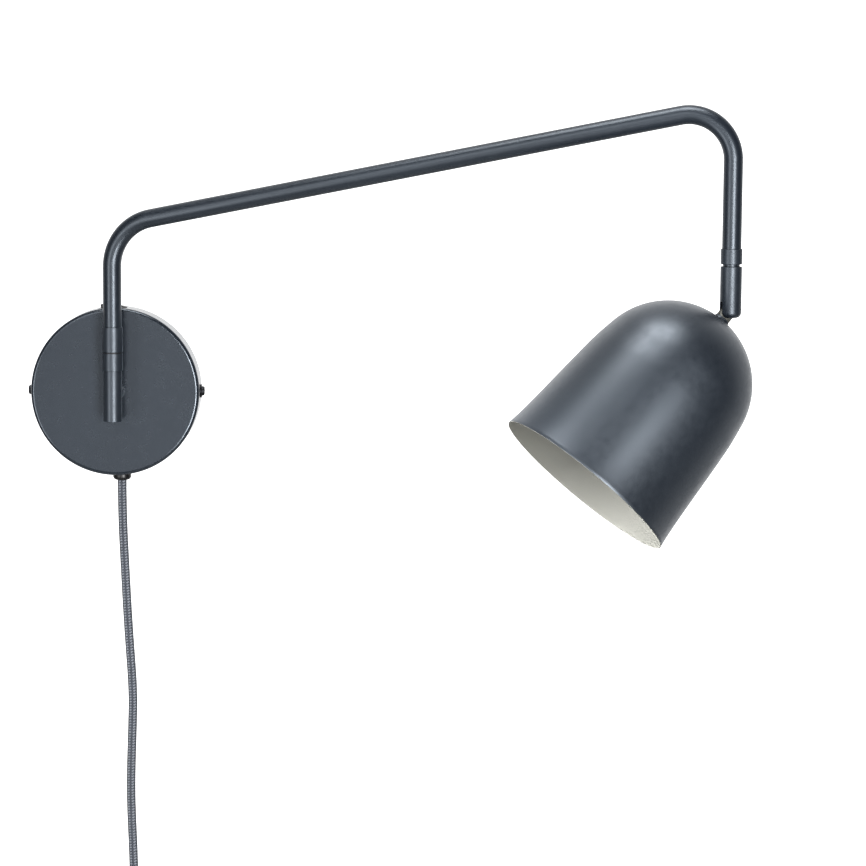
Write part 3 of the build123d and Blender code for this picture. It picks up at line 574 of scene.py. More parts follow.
class NodeTree(Nodes):
    """A material's node tree, with calls for the patterns that the finishes share."""

    def __init__(self, name: str) -> None:
        """Start a material that holds only its shader and its output.

        Args:
            name: The material's name.
        """
        self.material = bpy.data.materials.new(name)
        super().__init__(self.material)
        self.shader = self.add("BsdfPrincipled")
        output = self.add("OutputMaterial")
        self.join(self.shader, "BSDF", output, "Surface")

    def place(self, stretch: Sequence[float] = (1.0, 1.0, 1.0)) -> Node:
        """Read the piece's own coordinates, stretched along the axes.

        Args:
            stretch: How many times finer the pattern is along each axis.

        Returns:
            The mapping node.
        """
        coordinates = self.add("TexCoord")
        mapping = self.feed(self.add("Mapping"), Scale=tuple(stretch))
        self.join(coordinates, "Object", mapping, "Vector")
        return mapping

    def noise(
        self, place: Node, scale: float, detail: float = 2.0, roughness: float = 0.5
    ) -> Node:
        """Add a noise on the given coordinates.

        Args:
            place: The node that gives the coordinates.
            scale: Features to the metre.
            detail: How many finer layers it has.
            roughness: How strong these are.

        Returns:
            The noise node.
        """
        noise = self.feed(
            self.add("TexNoise"), Scale=scale, Detail=detail, Roughness=roughness
        )
        self.join(place, 0, noise, "Vector")
        return noise

    def roughen(self, noise: Node, middle: float, low: float, high: float) -> None:
        """Let the roughness run between two shares of its middle value with a noise.

        Args:
            noise: The noise node.
            middle: The roughness in the middle.
            low: The share of it where the noise is low.
            high: The share where it is high.
        """
        spread = self.feed(
            self.add("MapRange"), From_Min=NOISE_LOW, From_Max=NOISE_HIGH,
            To_Min=middle * low, To_Max=middle * high,
        )
        self.join(noise, "Fac", spread, "Value")
        self.join(spread, "Result", self.shader, "Roughness")

    def mottle(self, noise: Node, colour: Colour, low: float, high: float) -> None:
        """Let the base colour run between two shares of a colour with a noise."""
        ends = (tuple(channel * share for channel in colour) for share in (low, high))
        self.join(self.tint(noise, "Fac", *ends), "Color", self.shader, "Base Color")

    def tint(self, source: Node, output: str | int, low: Colour, high: Colour) -> Node:
        """Run from one colour to another with a value.

        Args:
            source: The node with the value.
            output: Its output.
            low: The colour at the low end.
            high: The colour at the high end.

        Returns:
            The ramp node.
        """
        ramp = self.add("ValToRGB")
        ramp.color_ramp.elements[0].position = NOISE_LOW
        ramp.color_ramp.elements[1].position = NOISE_HIGH
        ramp.color_ramp.elements[0].color = (*low, 1.0)
        ramp.color_ramp.elements[1].color = (*high, 1.0)
        self.join(source, output, ramp, "Fac")
        return ramp

    def bump(
        self, source: Node, output: str | int, height: float, strength: float,
        under: Node | None = None,
    ) -> Node:
        """Add a bump to the shader, over an earlier one where there is one.

        Args:
            source: The node with the height.
            output: Its output.
            height: The height in metres.
            strength: How much of it shows.
            under: The bump below it.

        Returns:
            The bump node.
        """
        bump = self.feed(self.add("Bump"), Distance=height, Strength=strength)
        self.join(source, output, bump, "Height")
        if under is not None:
            self.join(under, "Normal", bump, "Normal")
        self.join(bump, "Normal", self.shader, "Normal")
        return bump


@dataclass(frozen=True)
class Finish:
    """What every finish has; its kinds say how each is mixed."""

    name: str
    colour: Colour

    def make(self) -> Material:
        """Make the material.

        Returns:
            The material.
        """
        board = NodeTree(self.name)
        self.mix(board)
        return board.material

    def mix(self, board: NodeTree) -> None:
        """Lay the finish's nodes on the material's tree, a board."""
        raise NotImplementedError(board)


@dataclass(frozen=True)
class Paint(Finish):
    """Satin paint, stoved on: a fine orange peel and a faint unevenness of tone."""

    roughness: float = 0.34
    peel: float = 620.0
    peel_height: float = 0.00002
    tone: float = 0.08
    gloss_tint: Colour = (1.0, 1.0, 1.0)
    ior: float = 1.85

    def mix(self, board: NodeTree) -> None:
        """Lay the finish's nodes on a board.

        Args:
            board: The material's tree.
        """
        place = board.place()
        broad = board.noise(place, scale=9.0, detail=3.0)
        board.mottle(broad, self.colour, 1.0 - self.tone, 1.0 + self.tone)
        fine = board.noise(place, scale=self.peel * 0.35, detail=3.0)
        board.roughen(fine, self.roughness, low=0.93, high=1.07)
        board.feed(board.shader, IOR=self.ior, Specular_Tint=(*self.gloss_tint, 1.0))
        board.bump(board.noise(place, self.peel), "Fac", self.peel_height, strength=0.6)


@dataclass(frozen=True)
class Metal(Finish):
    """Bare or plated metal, with fine tool marks drawn out along one axis."""

    roughness: float = 0.3
    marks: Triple = (1.0, 1.0, 12.0)
    mark_scale: float = 500.0
    mark_height: float = 0.00001
    spots: float = 0.12

    def mix(self, board: NodeTree) -> None:
        """Lay the finish's nodes on a board.

        Args:
            board: The material's tree.
        """
        board.feed(board.shader, Metallic=1.0)
        place = board.place()
        cloud = board.noise(place, scale=160.0, detail=4.0, roughness=0.6)
        board.mottle(cloud, self.colour, 1.0 - self.spots, 1.0 + self.spots)
        drawn = board.noise(
            board.place(self.marks), self.mark_scale, detail=3.0, roughness=0.6
        )
        board.roughen(drawn, self.roughness, low=0.8, high=1.25)
        board.bump(drawn, "Fac", self.mark_height, strength=0.5)


@dataclass(frozen=True)
class Moulded(Finish):
    """Moulded plastic or glazed ceramic, with a fine grain."""

    roughness: float = 0.45
    grain: float = 1500.0
    grain_height: float = 0.00002
    tone: float = 0.1
    ior: float = 1.48

    def mix(self, board: NodeTree) -> None:
        """Lay the finish's nodes on a board.

        Args:
            board: The material's tree.
        """
        place = board.place()
        cloud = board.noise(place, scale=45.0)
        board.mottle(cloud, self.colour, 1.0 - self.tone, 1.0 + self.tone)
        board.roughen(cloud, self.roughness, low=0.9, high=1.1)
        board.feed(board.shader, IOR=self.ior)
        grain = board.noise(place, self.grain, detail=1.0)
        board.bump(grain, "Fac", self.grain_height, strength=0.5)


@dataclass(frozen=True)
class Braid(Finish):
    """A braided textile cover: carriers of yarn that cross over and under each other. Its
    colour carries painted shade in the hollows between yarns and painted light on one lay of
    yarn.

    The piece's UV map runs once round the lead in u, and in v by one for each lead's
    circumference along it, so that the crossings are square.
    """

    # A lighter copy of the yarn colour that one lay of yarn takes: painted light on those
    # yarns.
    light: Colour = (0.190, 0.205, 0.235)
    carriers: int = 6
    crossings: int = 10
    yarn_height: float = 0.00035
    # Painted shade: the colour that the low places between yarns are darkened to, where that
    # darkening ends, and where the full colour starts.
    hollow_shade: Colour = (0.12, 0.12, 0.13)
    hollow_shade_end: float = 0.15
    crown_start: float = 0.85

    def mix(self, board: NodeTree) -> None:
        """Lay the finish's nodes on a board.

        Args:
            board: The material's tree.
        """
        coordinates = board.add("TexCoord")
        apart = board.add("SeparateXYZ")
        board.join(coordinates, "UV", apart, "Vector")
        left = self._strand(board, apart, 1.0)
        right = self._strand(board, apart, -1.0)
        over = self._checker(board, left[0], right[0])
        height = board.add("Mix", data_type="FLOAT")
        board.join(over, 0, height, "Factor")
        board.join(left[1], 0, height, 2)
        board.join(right[1], 0, height, 3)
        # One lay of yarn shows the base colour and the other its lighter copy: painted light,
        # one lay lit and the other shaded.
        yarn = board.add("Mix", data_type="RGBA")
        board.join(over, 0, yarn, "Factor")
        yarn.inputs[6].default_value = (*self.colour, 1.0)
        yarn.inputs[7].default_value = (*self.light, 1.0)
        # Multiply the yarn colour by a ramp on the yarn height: painted shade, darker in the
        # hollows between yarns.
        hollow_shade = board.add("Mix", data_type="RGBA", blend_type="MULTIPLY")
        hollow_shade.inputs["Factor"].default_value = 1.0
        depth = board.tint(height, 0, self.hollow_shade, (1.0, 1.0, 1.0))
        depth.color_ramp.elements[0].position = self.hollow_shade_end
        depth.color_ramp.elements[1].position = self.crown_start
        board.join(yarn, 2, hollow_shade, 6)
        board.join(depth, "Color", hollow_shade, 7)
        board.join(hollow_shade, 2, board.shader, "Base Color")
        board.feed(board.shader, Roughness=0.78, Sheen_Weight=0.35, Sheen_Roughness=0.4)
        lint = board.noise(board.place(), scale=5200.0, detail=1.0)
        fuzz = board.bump(lint, "Fac", height=0.00004, strength=0.4)
        board.bump(height, 0, self.yarn_height, strength=0.9, under=fuzz)

    def _strand(self, board: NodeTree, apart: Node, lay: float) -> tuple[Node, Node]:
        """Add one set of yarns that winds round the lead.

        Args:
            board: The material's tree.
            apart: The node that gives u and v.
            lay: 1 for the yarns that wind one way and -1 for the others.

        Returns:
            The node that counts the yarns, and the node with their round height.
        """
        around = self._sum(board, "MULTIPLY", apart, 0, float(self.carriers))
        along = self._sum(board, "MULTIPLY", apart, 1, lay * self.crossings)
        count = board.add("Math", operation="ADD")
        board.join(around, 0, count, 0)
        board.join(along, 0, count, 1)
        share = board.add("Math", operation="FRACT")
        board.join(count, 0, share, 0)
        wave = board.add("Math", operation="SINE")
        board.join(self._sum(board, "MULTIPLY", share, 0, HALF_TURN), 0, wave, 0)
        return count, wave

    @staticmethod
    def _sum(
        board: NodeTree, operation: str, source: Node, output: int, value: float
    ) -> Node:
        """Work out one sum of a node's output and a number.

        Args:
            board: The material's tree.
            operation: The kind of sum.
            source: The node with the value.
            output: Its output.
            value: The number.

        Returns:
            The node with the sum.
        """
        node = board.add("Math", operation=operation)
        board.join(source, output, node, 0)
        node.inputs[1].default_value = value
        return node

    @staticmethod
    def _checker(board: NodeTree, left: Node, right: Node) -> Node:
        """Say which set of yarns lies on top at each crossing.

        Args:
            board: The material's tree.
            left: The count of the first yarns.
            right: The count of the second yarns.

        Returns:
            The node that gives 0 or 1.
        """
        floors = []
        for count in (left, right):
            floor = board.add("Math", operation="FLOOR")
            board.join(count, 0, floor, 0)
            floors.append(floor)
        total = board.add("Math", operation="ADD")
        board.join(floors[0], 0, total, 0)
        board.join(floors[1], 0, total, 1)
        return Braid._sum(board, "FLOORED_MODULO", total, 0, 2.0)


@dataclass(frozen=True)
class Woven(Finish):
    """A narrow woven band with a ribbed face, its colour darker in the grooves between the ribs
    as painted shade.
    """

    rib: float = 2600.0

    def mix(self, board: NodeTree) -> None:
        """Lay the finish's nodes on a board.

        Args:
            board: The material's tree.
        """
        place = board.place()
        ribs = board.add("TexWave", wave_type="BANDS", bands_direction="Z")
        board.feed(ribs, Scale=self.rib / FULL_TURN, Distortion=0.6, Detail=1.0)
        board.join(place, 0, ribs, "Vector")
        # The colour follows the same bands that raise the ribs, darker in the grooves: painted
        # shade.
        board.mottle(ribs, self.colour, low=0.6, high=1.25)
        board.feed(board.shader, Roughness=0.85, Sheen_Weight=0.3)
        weave = board.noise(place, scale=3000.0)
        loops = board.bump(weave, "Fac", height=0.0001, strength=0.5)
        board.bump(ribs, "Fac", height=0.00015, strength=0.7, under=loops)


@dataclass
class Palette:
    """All the lamp's finishes, each made once."""

    slate: Colour = (0.0105, 0.0137, 0.0190)
    gloss: Colour = (0.83, 0.91, 1.0)
    materials: dict[Slot, Material] = field(default_factory=dict)
    canopy_paint: Material | None = None
    fitting_paint: Material | None = None
    shade_inside: Material | None = None
    pin_sleeve: Material | None = None

    def mix(self) -> None:
        """Make every finish."""
        black = (0.006, 0.006, 0.007)
        slate, gloss = self.slate, self.gloss
        finishes = {
            Slot.ARM_PAINT: Paint(
                "slate_paint_arm", slate, roughness=0.36, peel_height=0.000006,
                gloss_tint=gloss, ior=1.65,
            ),
            Slot.SHADE_PAINT: Paint(
                "slate_paint_shade", slate, roughness=0.42, peel_height=0.000012,
                gloss_tint=gloss,
            ),
            Slot.BRASS: Metal("bare_brass", (0.10, 0.10, 0.092), roughness=0.6, spots=0.3),
            Slot.ZINC: Metal("zinc_plate", (0.55, 0.56, 0.58), roughness=0.38, spots=0.2),
            Slot.SCREW_BLACK: Metal(
                "blacked_steel", (0.035, 0.036, 0.04), roughness=0.42, spots=0.3
            ),
            Slot.NYLON: Moulded("nylon_dark", (0.010, 0.010, 0.012), roughness=0.5),
            Slot.BLACK_PLASTIC: Moulded("black_plastic", black, roughness=0.42),
            Slot.ROCKER_BLACK: Moulded("black_rocker", black, roughness=0.36, grain=1100.0),
            Slot.LEAD_SHEATH: Moulded("lead_sheath", (0.30, 0.30, 0.29), roughness=0.55),
            Slot.BLOCK_PLASTIC: Moulded("block_plastic", (0.66, 0.65, 0.60), roughness=0.5),
            Slot.HOLDER_PLASTIC: Moulded("holder_plastic", (0.70, 0.69, 0.64), roughness=0.38),
            Slot.HOLDER_CERAMIC: Moulded("holder_ceramic", (0.78, 0.77, 0.72), roughness=0.28),
            Slot.CONTACT_BRASS: Metal("contact_brass", (0.72, 0.56, 0.30), roughness=0.25),
            Slot.BRAID: Braid("slate_braid", (0.050, 0.058, 0.074)),
            Slot.TIE_BAND: Woven("tie_band", (0.020, 0.020, 0.022)),
            Slot.PIN_NICKEL: Metal(
                "pin_nickel", (0.70, 0.67, 0.62), roughness=0.22, spots=0.06
            ),
        }
        for slot, finish in finishes.items():
            self.materials[slot] = finish.make()
        canopy = Paint(
            "slate_paint_canopy", slate, roughness=0.26, peel_height=0.000005,
            gloss_tint=gloss, ior=1.7,
        )
        self.canopy_paint = canopy.make()
        fitting = Paint(
            "slate_paint_fitting", slate, roughness=0.42, peel_height=0.000006,
            gloss_tint=gloss, ior=1.7,
        )
        self.fitting_paint = fitting.make()
        # The inside's cream is set far darker than the paint's own colour: painted shade inside
        # the bell.
        inside = Paint(
            "cream_paint_inside_painted_shade", (0.165, 0.165, 0.150), roughness=0.6, peel=500.0,
            tone=0.03, ior=1.3,
        )
        self.shade_inside = inside.make()
        self.pin_sleeve = Moulded("pin_sleeve", black, roughness=0.4).make()

    def of(self, slot: Slot) -> Material:
        """Give a slot's material."""
        return self.materials[slot]


def in_tooth(place: Vector, normal: Vector, count: int) -> bool:
    """Say whether a face that looks out from the shade's axis is on one of its teeth.

    Args:
        place: The face's centre in metres.
        normal: Its normal.
        count: How many teeth go round, each as wide as the gap beside it.

    Returns:
        Whether it is.
    """
    axis = PLACES.shade_direction
    side = Bench.side_of(axis)
    offset = place - PLACES.tilt_pivot * MM
    away = offset - axis * offset.dot(axis)
    angle = math.atan2(offset.dot(axis.cross(side)), offset.dot(side)) % FULL_TURN
    facing = normal.dot(away.normalized()) > FACING
    return facing and (angle * count / FULL_TURN) % 1.0 < 0.5


# ------------ the assembly
@dataclass
class SubAssembly:
    """What every sub-assembly can do: put its pieces into the lamp."""

    palette: Palette

    def enrol(
        self, piece: Piece, body: Body, slot: Slot, *nodes: str,
        finish: Material | None = None, extra: Sequence[Material] = (),
    ) -> Piece:
        """Dress a piece and let it ride on its body.

        Args:
            piece: The piece.
            body: The body that it rides on.
            slot: The finish that it takes.
            nodes: The solids that it stands for.
            finish: A finer finish in place of the slot's own.
            extra: Finishes for its further material slots.

        Returns:
            The piece.
        """
        piece.data.materials.clear()
        piece.data.materials.append(finish or self.palette.of(slot))
        for material in extra:
            piece.data.materials.append(material)
        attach(piece, body.value)
        if nodes:
            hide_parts(*nodes)
        faces = len(piece.data.polygons)
        LOG.info("%s: %d faces on %s, in %s", piece.name, faces, body.value, slot.value)
        return piece

    def enrol_fitting(
        self, piece: Piece, body: Body, node: str, corner: float = 32.0
    ) -> None:
        """Smooth a small turned piece, dress it in paint and let it ride on its body.

        Args:
            piece: The piece.
            body: The body that it rides on.
            node: The solid that it stands for.
            corner: The least corner in degrees that stays sharp.
        """
        Bench.smooth(piece, corner)
        Bench.weigh(piece)
        self.enrol(piece, body, Slot.ARM_PAINT, node, finish=self.palette.fitting_paint)

    def keep(self, slot: Slot, *nodes: str) -> None:
        """Leave solids showing, with a better finish.

        Args:
            slot: The finish that they take.
            nodes: The solids.
        """
        for name in nodes:
            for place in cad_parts[name].material_slots:
                place.material = self.palette.of(slot)
            LOG.info("%s: kept, in %s", name, slot.value)


@dataclass
class Canopy(SubAssembly):
    """The round pan on the wall, its bracket, its side screws and the terminal block."""

    wall: float = 1.2
    edge_radius: float = 2.8
    post_hole_radius: float = 5.0
    screw_hole_radius: float = 2.3
    screw_depth: float = 12.0
    window_centre: float = -2.4
    window_length: float = 20.2
    window_width: float = 9.0
    lead_depth: float = 12.5
    grip_hole_radius: float = 4.95
    grip_x: float = 3.6
    flange_radius: float = 4.9
    flange_thickness: float = 0.9
    head_radius: float = 3.4
    head_height: float = 2.0
    head_rounding: float = 1.2
    slot_width: float = 1.0
    slot_depth: float = 0.8
    shank_radius: float = 2.0
    shank_length: float = 9.0
    shank_point: float = 0.5
    thread_pitch: float = 0.7
    thread_depth: float = 0.35
    flange_edge: float = 0.15
    flange_rounding: float = 0.25
    crown: float = 0.05
    lip: float = 0.25
    drill_length: float = 12.0
    punch_depth: float = 14.0

    def build(self) -> None:
        """Make the pan and its two screws, and dress what is behind them."""
        self._pan()
        self._screws()
        self.keep(Slot.ZINC, "wall_bracket", "post_washer", "post_locknut")
        self.keep(Slot.BLOCK_PLASTIC, "terminal_block")
        self.keep(Slot.SCREW_BLACK, "block_screws")
        self.keep(Slot.LEAD_SHEATH, "canopy_lead", "post_lead")

    def _pan(self) -> None:
        """Spin the pan and cut its holes."""
        radius, depth = PLACES.canopy_radius, PLACES.canopy_depth
        edge, inner_edge = self.edge_radius, self.edge_radius - self.wall
        bend = (depth - edge, radius - edge)
        profile = [
            (depth - self.wall, self.post_hole_radius),
            (depth, self.post_hole_radius),
            (depth, radius * 0.5),
            *arc(bend, edge, 0.0, 90.0, 12),
            (depth * 0.5, radius),
            (self.lip, radius),
            (0.0, radius - self.lip),
            (0.0, radius - self.wall + self.lip),
            (self.lip, radius - self.wall),
            *arc(bend, inner_edge, 90.0, 0.0, 8),
            (depth - self.wall, radius * 0.5),
        ]
        pan = Bench.turn("canopy_pan", profile, Vector(), OUT, steps=192)
        length = self.drill_length
        for side in (-1.0, 1.0):
            centre = Vector((side * radius, -self.screw_depth, 0.0))
            drill = Bench.rod("drill", centre, RIGHT, self.screw_hole_radius, length, steps=48)
            Bench.cut(pan, drill)
        window = Vector((self.window_centre, -self.lead_depth, radius))
        sizes = (self.window_length, self.window_width, self.punch_depth)
        Bench.cut(pan, Bench.block("punch", window, sizes, RIGHT, UP))
        hole = Vector((self.grip_x, -self.lead_depth, -radius))
        Bench.cut(pan, Bench.rod("drill", hole, UP, self.grip_hole_radius, length, steps=64))
        Bench.smooth(pan, corner=30.0)
        Bench.weigh(pan)
        finish = self.palette.canopy_paint
        self.enrol(pan, Body.WALL, Slot.ARM_PAINT, "wall_canopy", finish=finish)

    def _screws(self) -> None:
        """Turn one slotted screw, saw its slot, and copy it to the other side."""
        start = PLACES.canopy_radius + PLACES.gap
        head = start + self.flange_thickness
        top = head + self.head_height
        rounding = self.head_rounding
        tip = start - self.shank_length
        turns = thread(
            tip + self.shank_point, start, self.shank_radius, self.thread_pitch,
            self.thread_depth,
        )
        profile = [
            (tip, 0.0),
            (tip, self.shank_radius - self.shank_point),
            *turns,
            (start, self.flange_radius - self.flange_edge),
            (start + self.flange_edge, self.flange_radius),
            (head - self.flange_rounding, self.flange_radius),
            (head, self.flange_radius - self.flange_rounding),
            (head, self.head_radius),
            *arc((top - rounding, self.head_radius - rounding), rounding, 90.0, 0.0, 8),
            (top + self.crown, 0.0),
        ]
        axis_foot = Vector((0.0, -self.screw_depth, 0.0))
        screw = Bench.turn(
            "side_screw_right", profile, axis_foot, RIGHT, steps=64, closed=False
        )
        saw = Vector((top, -self.screw_depth, 0.0))
        sizes = (2 * self.slot_depth, self.slot_width, 3 * self.head_radius)
        Bench.cut(screw, Bench.block("saw", saw, sizes, RIGHT, UP))
        Bench.ease(screw, width=0.12, segments=1, corner=55.0)
        Bench.smooth(screw, corner=35.0)
        Bench.weigh(screw)
        twin = Bench.copy("side_screw_left", screw, Matrix.Rotation(HALF_TURN, 4, "Y"))
        for piece in (screw, twin):
            self.enrol(piece, Body.WALL, Slot.SCREW_BLACK, "canopy_side_screws")


@dataclass
class Pivot(SubAssembly):
    """The post that stands out of the canopy, and the upright pin and ring on it."""

    thread_radius: float = 4.95
    thread_back: float = 13.8
    collar_radius: float = 6.5
    collar_length: float = 5.0
    neck_radius: float = 5.0
    bore_radius: float = 2.5
    pin_bottom: float = -19.5
    pin_top: float = 16.5
    pin_bore_radius: float = 3.6
    pin_bore_floor: float = 9.0
    edge: float = 0.3
    ring_top: float = 29.1
    spindle_bore_radius: float = 4.05
    bearing_length: float = 4.6
    counterbore_radius: float = 5.5
    edge_step: float = 0.1
    point: float = 0.8
    lead_in: float = 0.5
    thread_relief: float = 1.0
    thread_pitch: float = 1.0
    thread_depth: float = 0.45

    def build(self) -> None:
        """Turn the post, the pin and the ring."""
        self._post()
        self._pin()
        self._ring()
        self.keep(Slot.NYLON, "friction_washer")

    def _post(self) -> None:
        """Turn the post and cut its end to sit on the pin."""
        face = PLACES.canopy_depth + PLACES.gap
        collar_end = PLACES.canopy_depth + self.collar_length + PLACES.gap
        end = PLACES.pivot_reach
        relief = face - self.thread_relief
        turns = thread(
            self.thread_back + self.lead_in, relief, self.thread_radius, self.thread_pitch,
            self.thread_depth,
        )
        profile = [
            (self.thread_back, self.bore_radius),
            (self.thread_back, self.thread_radius - self.point),
            *turns,
            (relief, self.thread_radius),
            (face, self.thread_radius),
            (face, self.collar_radius),
            (collar_end - self.edge, self.collar_radius),
            (collar_end, self.collar_radius - self.edge),
            (collar_end, self.neck_radius),
            (end, self.neck_radius),
            (end, self.bore_radius),
        ]
        post = Bench.turn("pivot_post_turned", profile, Vector(), OUT, steps=72)
        saddle = PLACES.tube_radius + PLACES.gap
        Bench.cut(post, Bench.rod("saddle", PLACES.pivot, UP, saddle, length=40.0, steps=128))
        Bench.ease(post, width=0.12, segments=1, corner=50.0)
        self.enrol_fitting(post, Body.WALL, "pivot_post")

    def _pin(self) -> None:
        """Turn the upright pin, with its cut bottom edge and its bore."""
        radius = PLACES.tube_radius
        floor = self.pin_bottom + self.pin_bore_floor
        profile = [
            (self.pin_bottom, 0.0),
            (self.pin_bottom, radius - self.edge),
            (self.pin_bottom + self.edge_step, radius - self.edge_step),
            (self.pin_bottom + self.edge, radius),
            (self.pin_top, radius),
            (self.pin_top, self.pin_bore_radius),
            (floor, self.pin_bore_radius),
            (floor, 0.0),
        ]
        pin = Bench.turn("pivot_pin_turned", profile, PLACES.pivot, UP, closed=False)
        self.enrol_fitting(pin, Body.WALL, "pivot_pin")

    def _ring(self) -> None:
        """Turn the ring, with its counterbore and its rounded upper edge."""
        radius = PLACES.collar_radius
        shoulder = self.ring_top - self.bearing_length
        profile = [
            (self.pin_top, self.counterbore_radius),
            (self.pin_top, radius - self.edge),
            (self.pin_top + self.edge_step, radius - self.edge_step),
            (self.pin_top + self.edge, radius),
            (self.ring_top - self.edge, radius),
            (self.ring_top - self.edge_step, radius - self.edge_step),
            (self.ring_top, radius - self.edge),
            (self.ring_top, self.spindle_bore_radius),
            (shoulder, self.spindle_bore_radius),
            (shoulder, self.counterbore_radius),
        ]
        ring = Bench.turn("pivot_ring_turned", profile, PLACES.pivot, UP)
        self.enrol_fitting(ring, Body.WALL, "pivot_ring")


@dataclass
class Arm(SubAssembly):
    """The bent tube between its two sleeves."""

    start: float = 32.3
    corner_height: float = 118.8
    slope: float = 11.4
    end: float = 102.85
    wall: float = 1.2
    wall_bend: float = 35.0
    drop_bend: float = 30.0
    bend_steps: int = 40
    sleeve_bottom: float = 29.75
    sleeve_top: float = 47.5
    sleeve_web: float = 2.5
    drop_top: float = 110.9
    drop_web: float = 2.2
    spindle_radius: float = 4.05
    edge: float = 0.35
    edge_step: float = 0.12

    def build(self) -> None:
        """Bend the tube and turn its sleeves."""
        self._tube()
        self._sleeve(
            "arm_sleeve", PLACES.pivot, self.sleeve_bottom, self.sleeve_top, self.sleeve_web
        )
        self._sleeve(
            "drop_sleeve", PLACES.drop, PLACES.drop_sleeve_bottom, self.drop_top, self.drop_web
        )
        self.keep(Slot.ZINC, "arm_spindle", "spindle_nut")
        self.keep(Slot.LEAD_SHEATH, "arm_lead")

    def _tube(self) -> None:
        """Draw the tube from its foot to its drop, and give it its wall."""
        level = PLACES.arm_direction
        slope = math.radians(self.slope)
        rising = level * math.cos(slope) + UP * math.sin(slope)
        hinge = UP.cross(level)
        foot_turn = HALF_TURN / 2 - slope
        drop_turn = HALF_TURN / 2 + slope
        foot_run = self.wall_bend * math.tan(foot_turn / 2)
        drop_run = self.drop_bend * math.tan(drop_turn / 2)
        first = PLACES.pivot + UP * self.corner_height
        second_height = self.corner_height + PLACES.arm_reach * math.tan(slope)
        second = PLACES.drop + UP * second_height
        straight = (second - first).length - foot_run - drop_run
        first_centre = first - UP * foot_run + level * self.wall_bend
        inwards = hinge.cross(rising)
        second_centre = second - rising * drop_run + inwards * self.drop_bend

        Bench.clear()
        bpy.ops.mesh.primitive_circle_add(
            vertices=64,
            radius=PLACES.tube_radius * MM,
            fill_type="NOTHING",
            location=(PLACES.pivot + UP * self.start) * MM,
        )
        tube = Bench.fresh("arm_tube_bent")
        with Bench.editing(tube):
            self._draw(UP * (self.corner_height - foot_run - self.start), steps=2)
            self._bend(first_centre, hinge, foot_turn)
            self._draw(rising * straight, steps=8)
            self._bend(second_centre, hinge, drop_turn)
            self._draw(UP * (self.end - second_height + drop_run), steps=2)
            Bench.close_up()
        Bench.apply(tube, "SOLIDIFY", thickness=self.wall * MM, offset=-1.0)
        Bench.smooth(tube, corner=40.0)
        self.enrol(tube, Body.ARM, Slot.ARM_PAINT, "arm_tube")

    @staticmethod
    def _draw(run: Vector, steps: int) -> None:
        """Extrude the open end along a straight run, in steps."""
        for _ in range(steps):
            bpy.ops.mesh.extrude_region_move(
                TRANSFORM_OT_translate={"value": run * (MM / steps)}
            )

    def _bend(self, centre: Vector, hinge: Vector, angle: float) -> None:
        """Spin the open end round a bend's centre."""
        bpy.ops.mesh.spin(
            steps=self.bend_steps, angle=-angle, center=centre * MM, axis=hinge
        )

    def _sleeve(self, node: str, centre: Vector, bottom: float, top: float, web: float) -> None:
        """Turn and enrol one sleeve, closed below by a bored web.

        Args:
            node: The solid that it stands for.
            centre: The foot of its axis.
            bottom: The height of its lower end.
            top: The height of its upper end.
            web: How thick the web is.
        """
        radius, bore = PLACES.collar_radius, PLACES.tube_radius + PLACES.gap
        profile = [
            (bottom, self.spindle_radius),
            (bottom, radius - self.edge),
            (bottom + self.edge_step, radius - self.edge_step),
            (bottom + self.edge, radius),
            (top - self.edge, radius),
            (top - self.edge_step, radius - self.edge_step),
            (top, radius - self.edge),
            (top, bore),
            (bottom + web, bore),
            (bottom + web, self.spindle_radius),
        ]
        sleeve = Bench.turn(f"{node}_turned", profile, centre, UP)
        self.enrol_fitting(sleeve, Body.ARM, node)


@dataclass
class Knuckle(SubAssembly):
    """The slotted body that turns under the arm's end and holds the shade's tongue."""

    end_radius: float = 3.8
    neck_radius: float = 5.65
    neck_height: float = 1.5
    nipple_hole_radius: float = 4.05
    nipple_hole_depth: float = 8.0
    lead_bore_radius: float = 2.4
    slot_width: float = 4.0
    slot_height: float = 10.9
    slot_behind: float = 5.1
    pin_hole_radius: float = 1.55
    pin_blind: float = 1.8
    edge: float = 0.3
    edge_step: float = 0.1
    mill_reach: float = 24.0

    def build(self) -> None:
        """Turn the body, mill its slot and drill it for the pin."""
        radius = PLACES.collar_radius
        bottom, top = PLACES.knuckle_bottom, PLACES.knuckle_top
        rounding = self.end_radius
        floor = top - self.nipple_hole_depth
        profile = [
            (bottom, 0.0),
            *arc((bottom + rounding, radius - rounding), rounding, 180.0, 90.0, 14),
            (top - self.edge, radius),
            (top - self.edge_step, radius - self.edge_step),
            (top, radius - self.edge),
            (top, self.neck_radius),
            (top + self.neck_height, self.neck_radius),
            (top + self.neck_height, self.nipple_hole_radius),
            (floor, self.nipple_hole_radius),
            (floor, self.lead_bore_radius),
            (PLACES.tilt_height, self.lead_bore_radius),
            (PLACES.tilt_height, 0.0),
        ]
        body = Bench.turn("knuckle_body", profile, PLACES.drop, UP, closed=False)
        reach = self.mill_reach
        middle = PLACES.drop + PLACES.lean * (reach / 2 - self.slot_behind)
        middle.z = bottom + self.slot_height - reach / 2
        sizes = (reach, self.slot_width, reach)
        Bench.cut(body, Bench.block("mill", middle, sizes, PLACES.lean, UP))
        centre = PLACES.tilt_pivot + PLACES.slot_normal * self.pin_blind
        drill = Bench.rod(
            "drill", centre, PLACES.slot_normal, self.pin_hole_radius, 2 * radius, steps=48
        )
        Bench.cut(body, drill)
        Bench.ease(body, width=0.22, segments=2, corner=50.0)
        self.enrol_fitting(body, Body.KNUCKLE, "knuckle")
        self.keep(Slot.ZINC, "swivel_nipple", "swivel_nut", "tilt_pin")


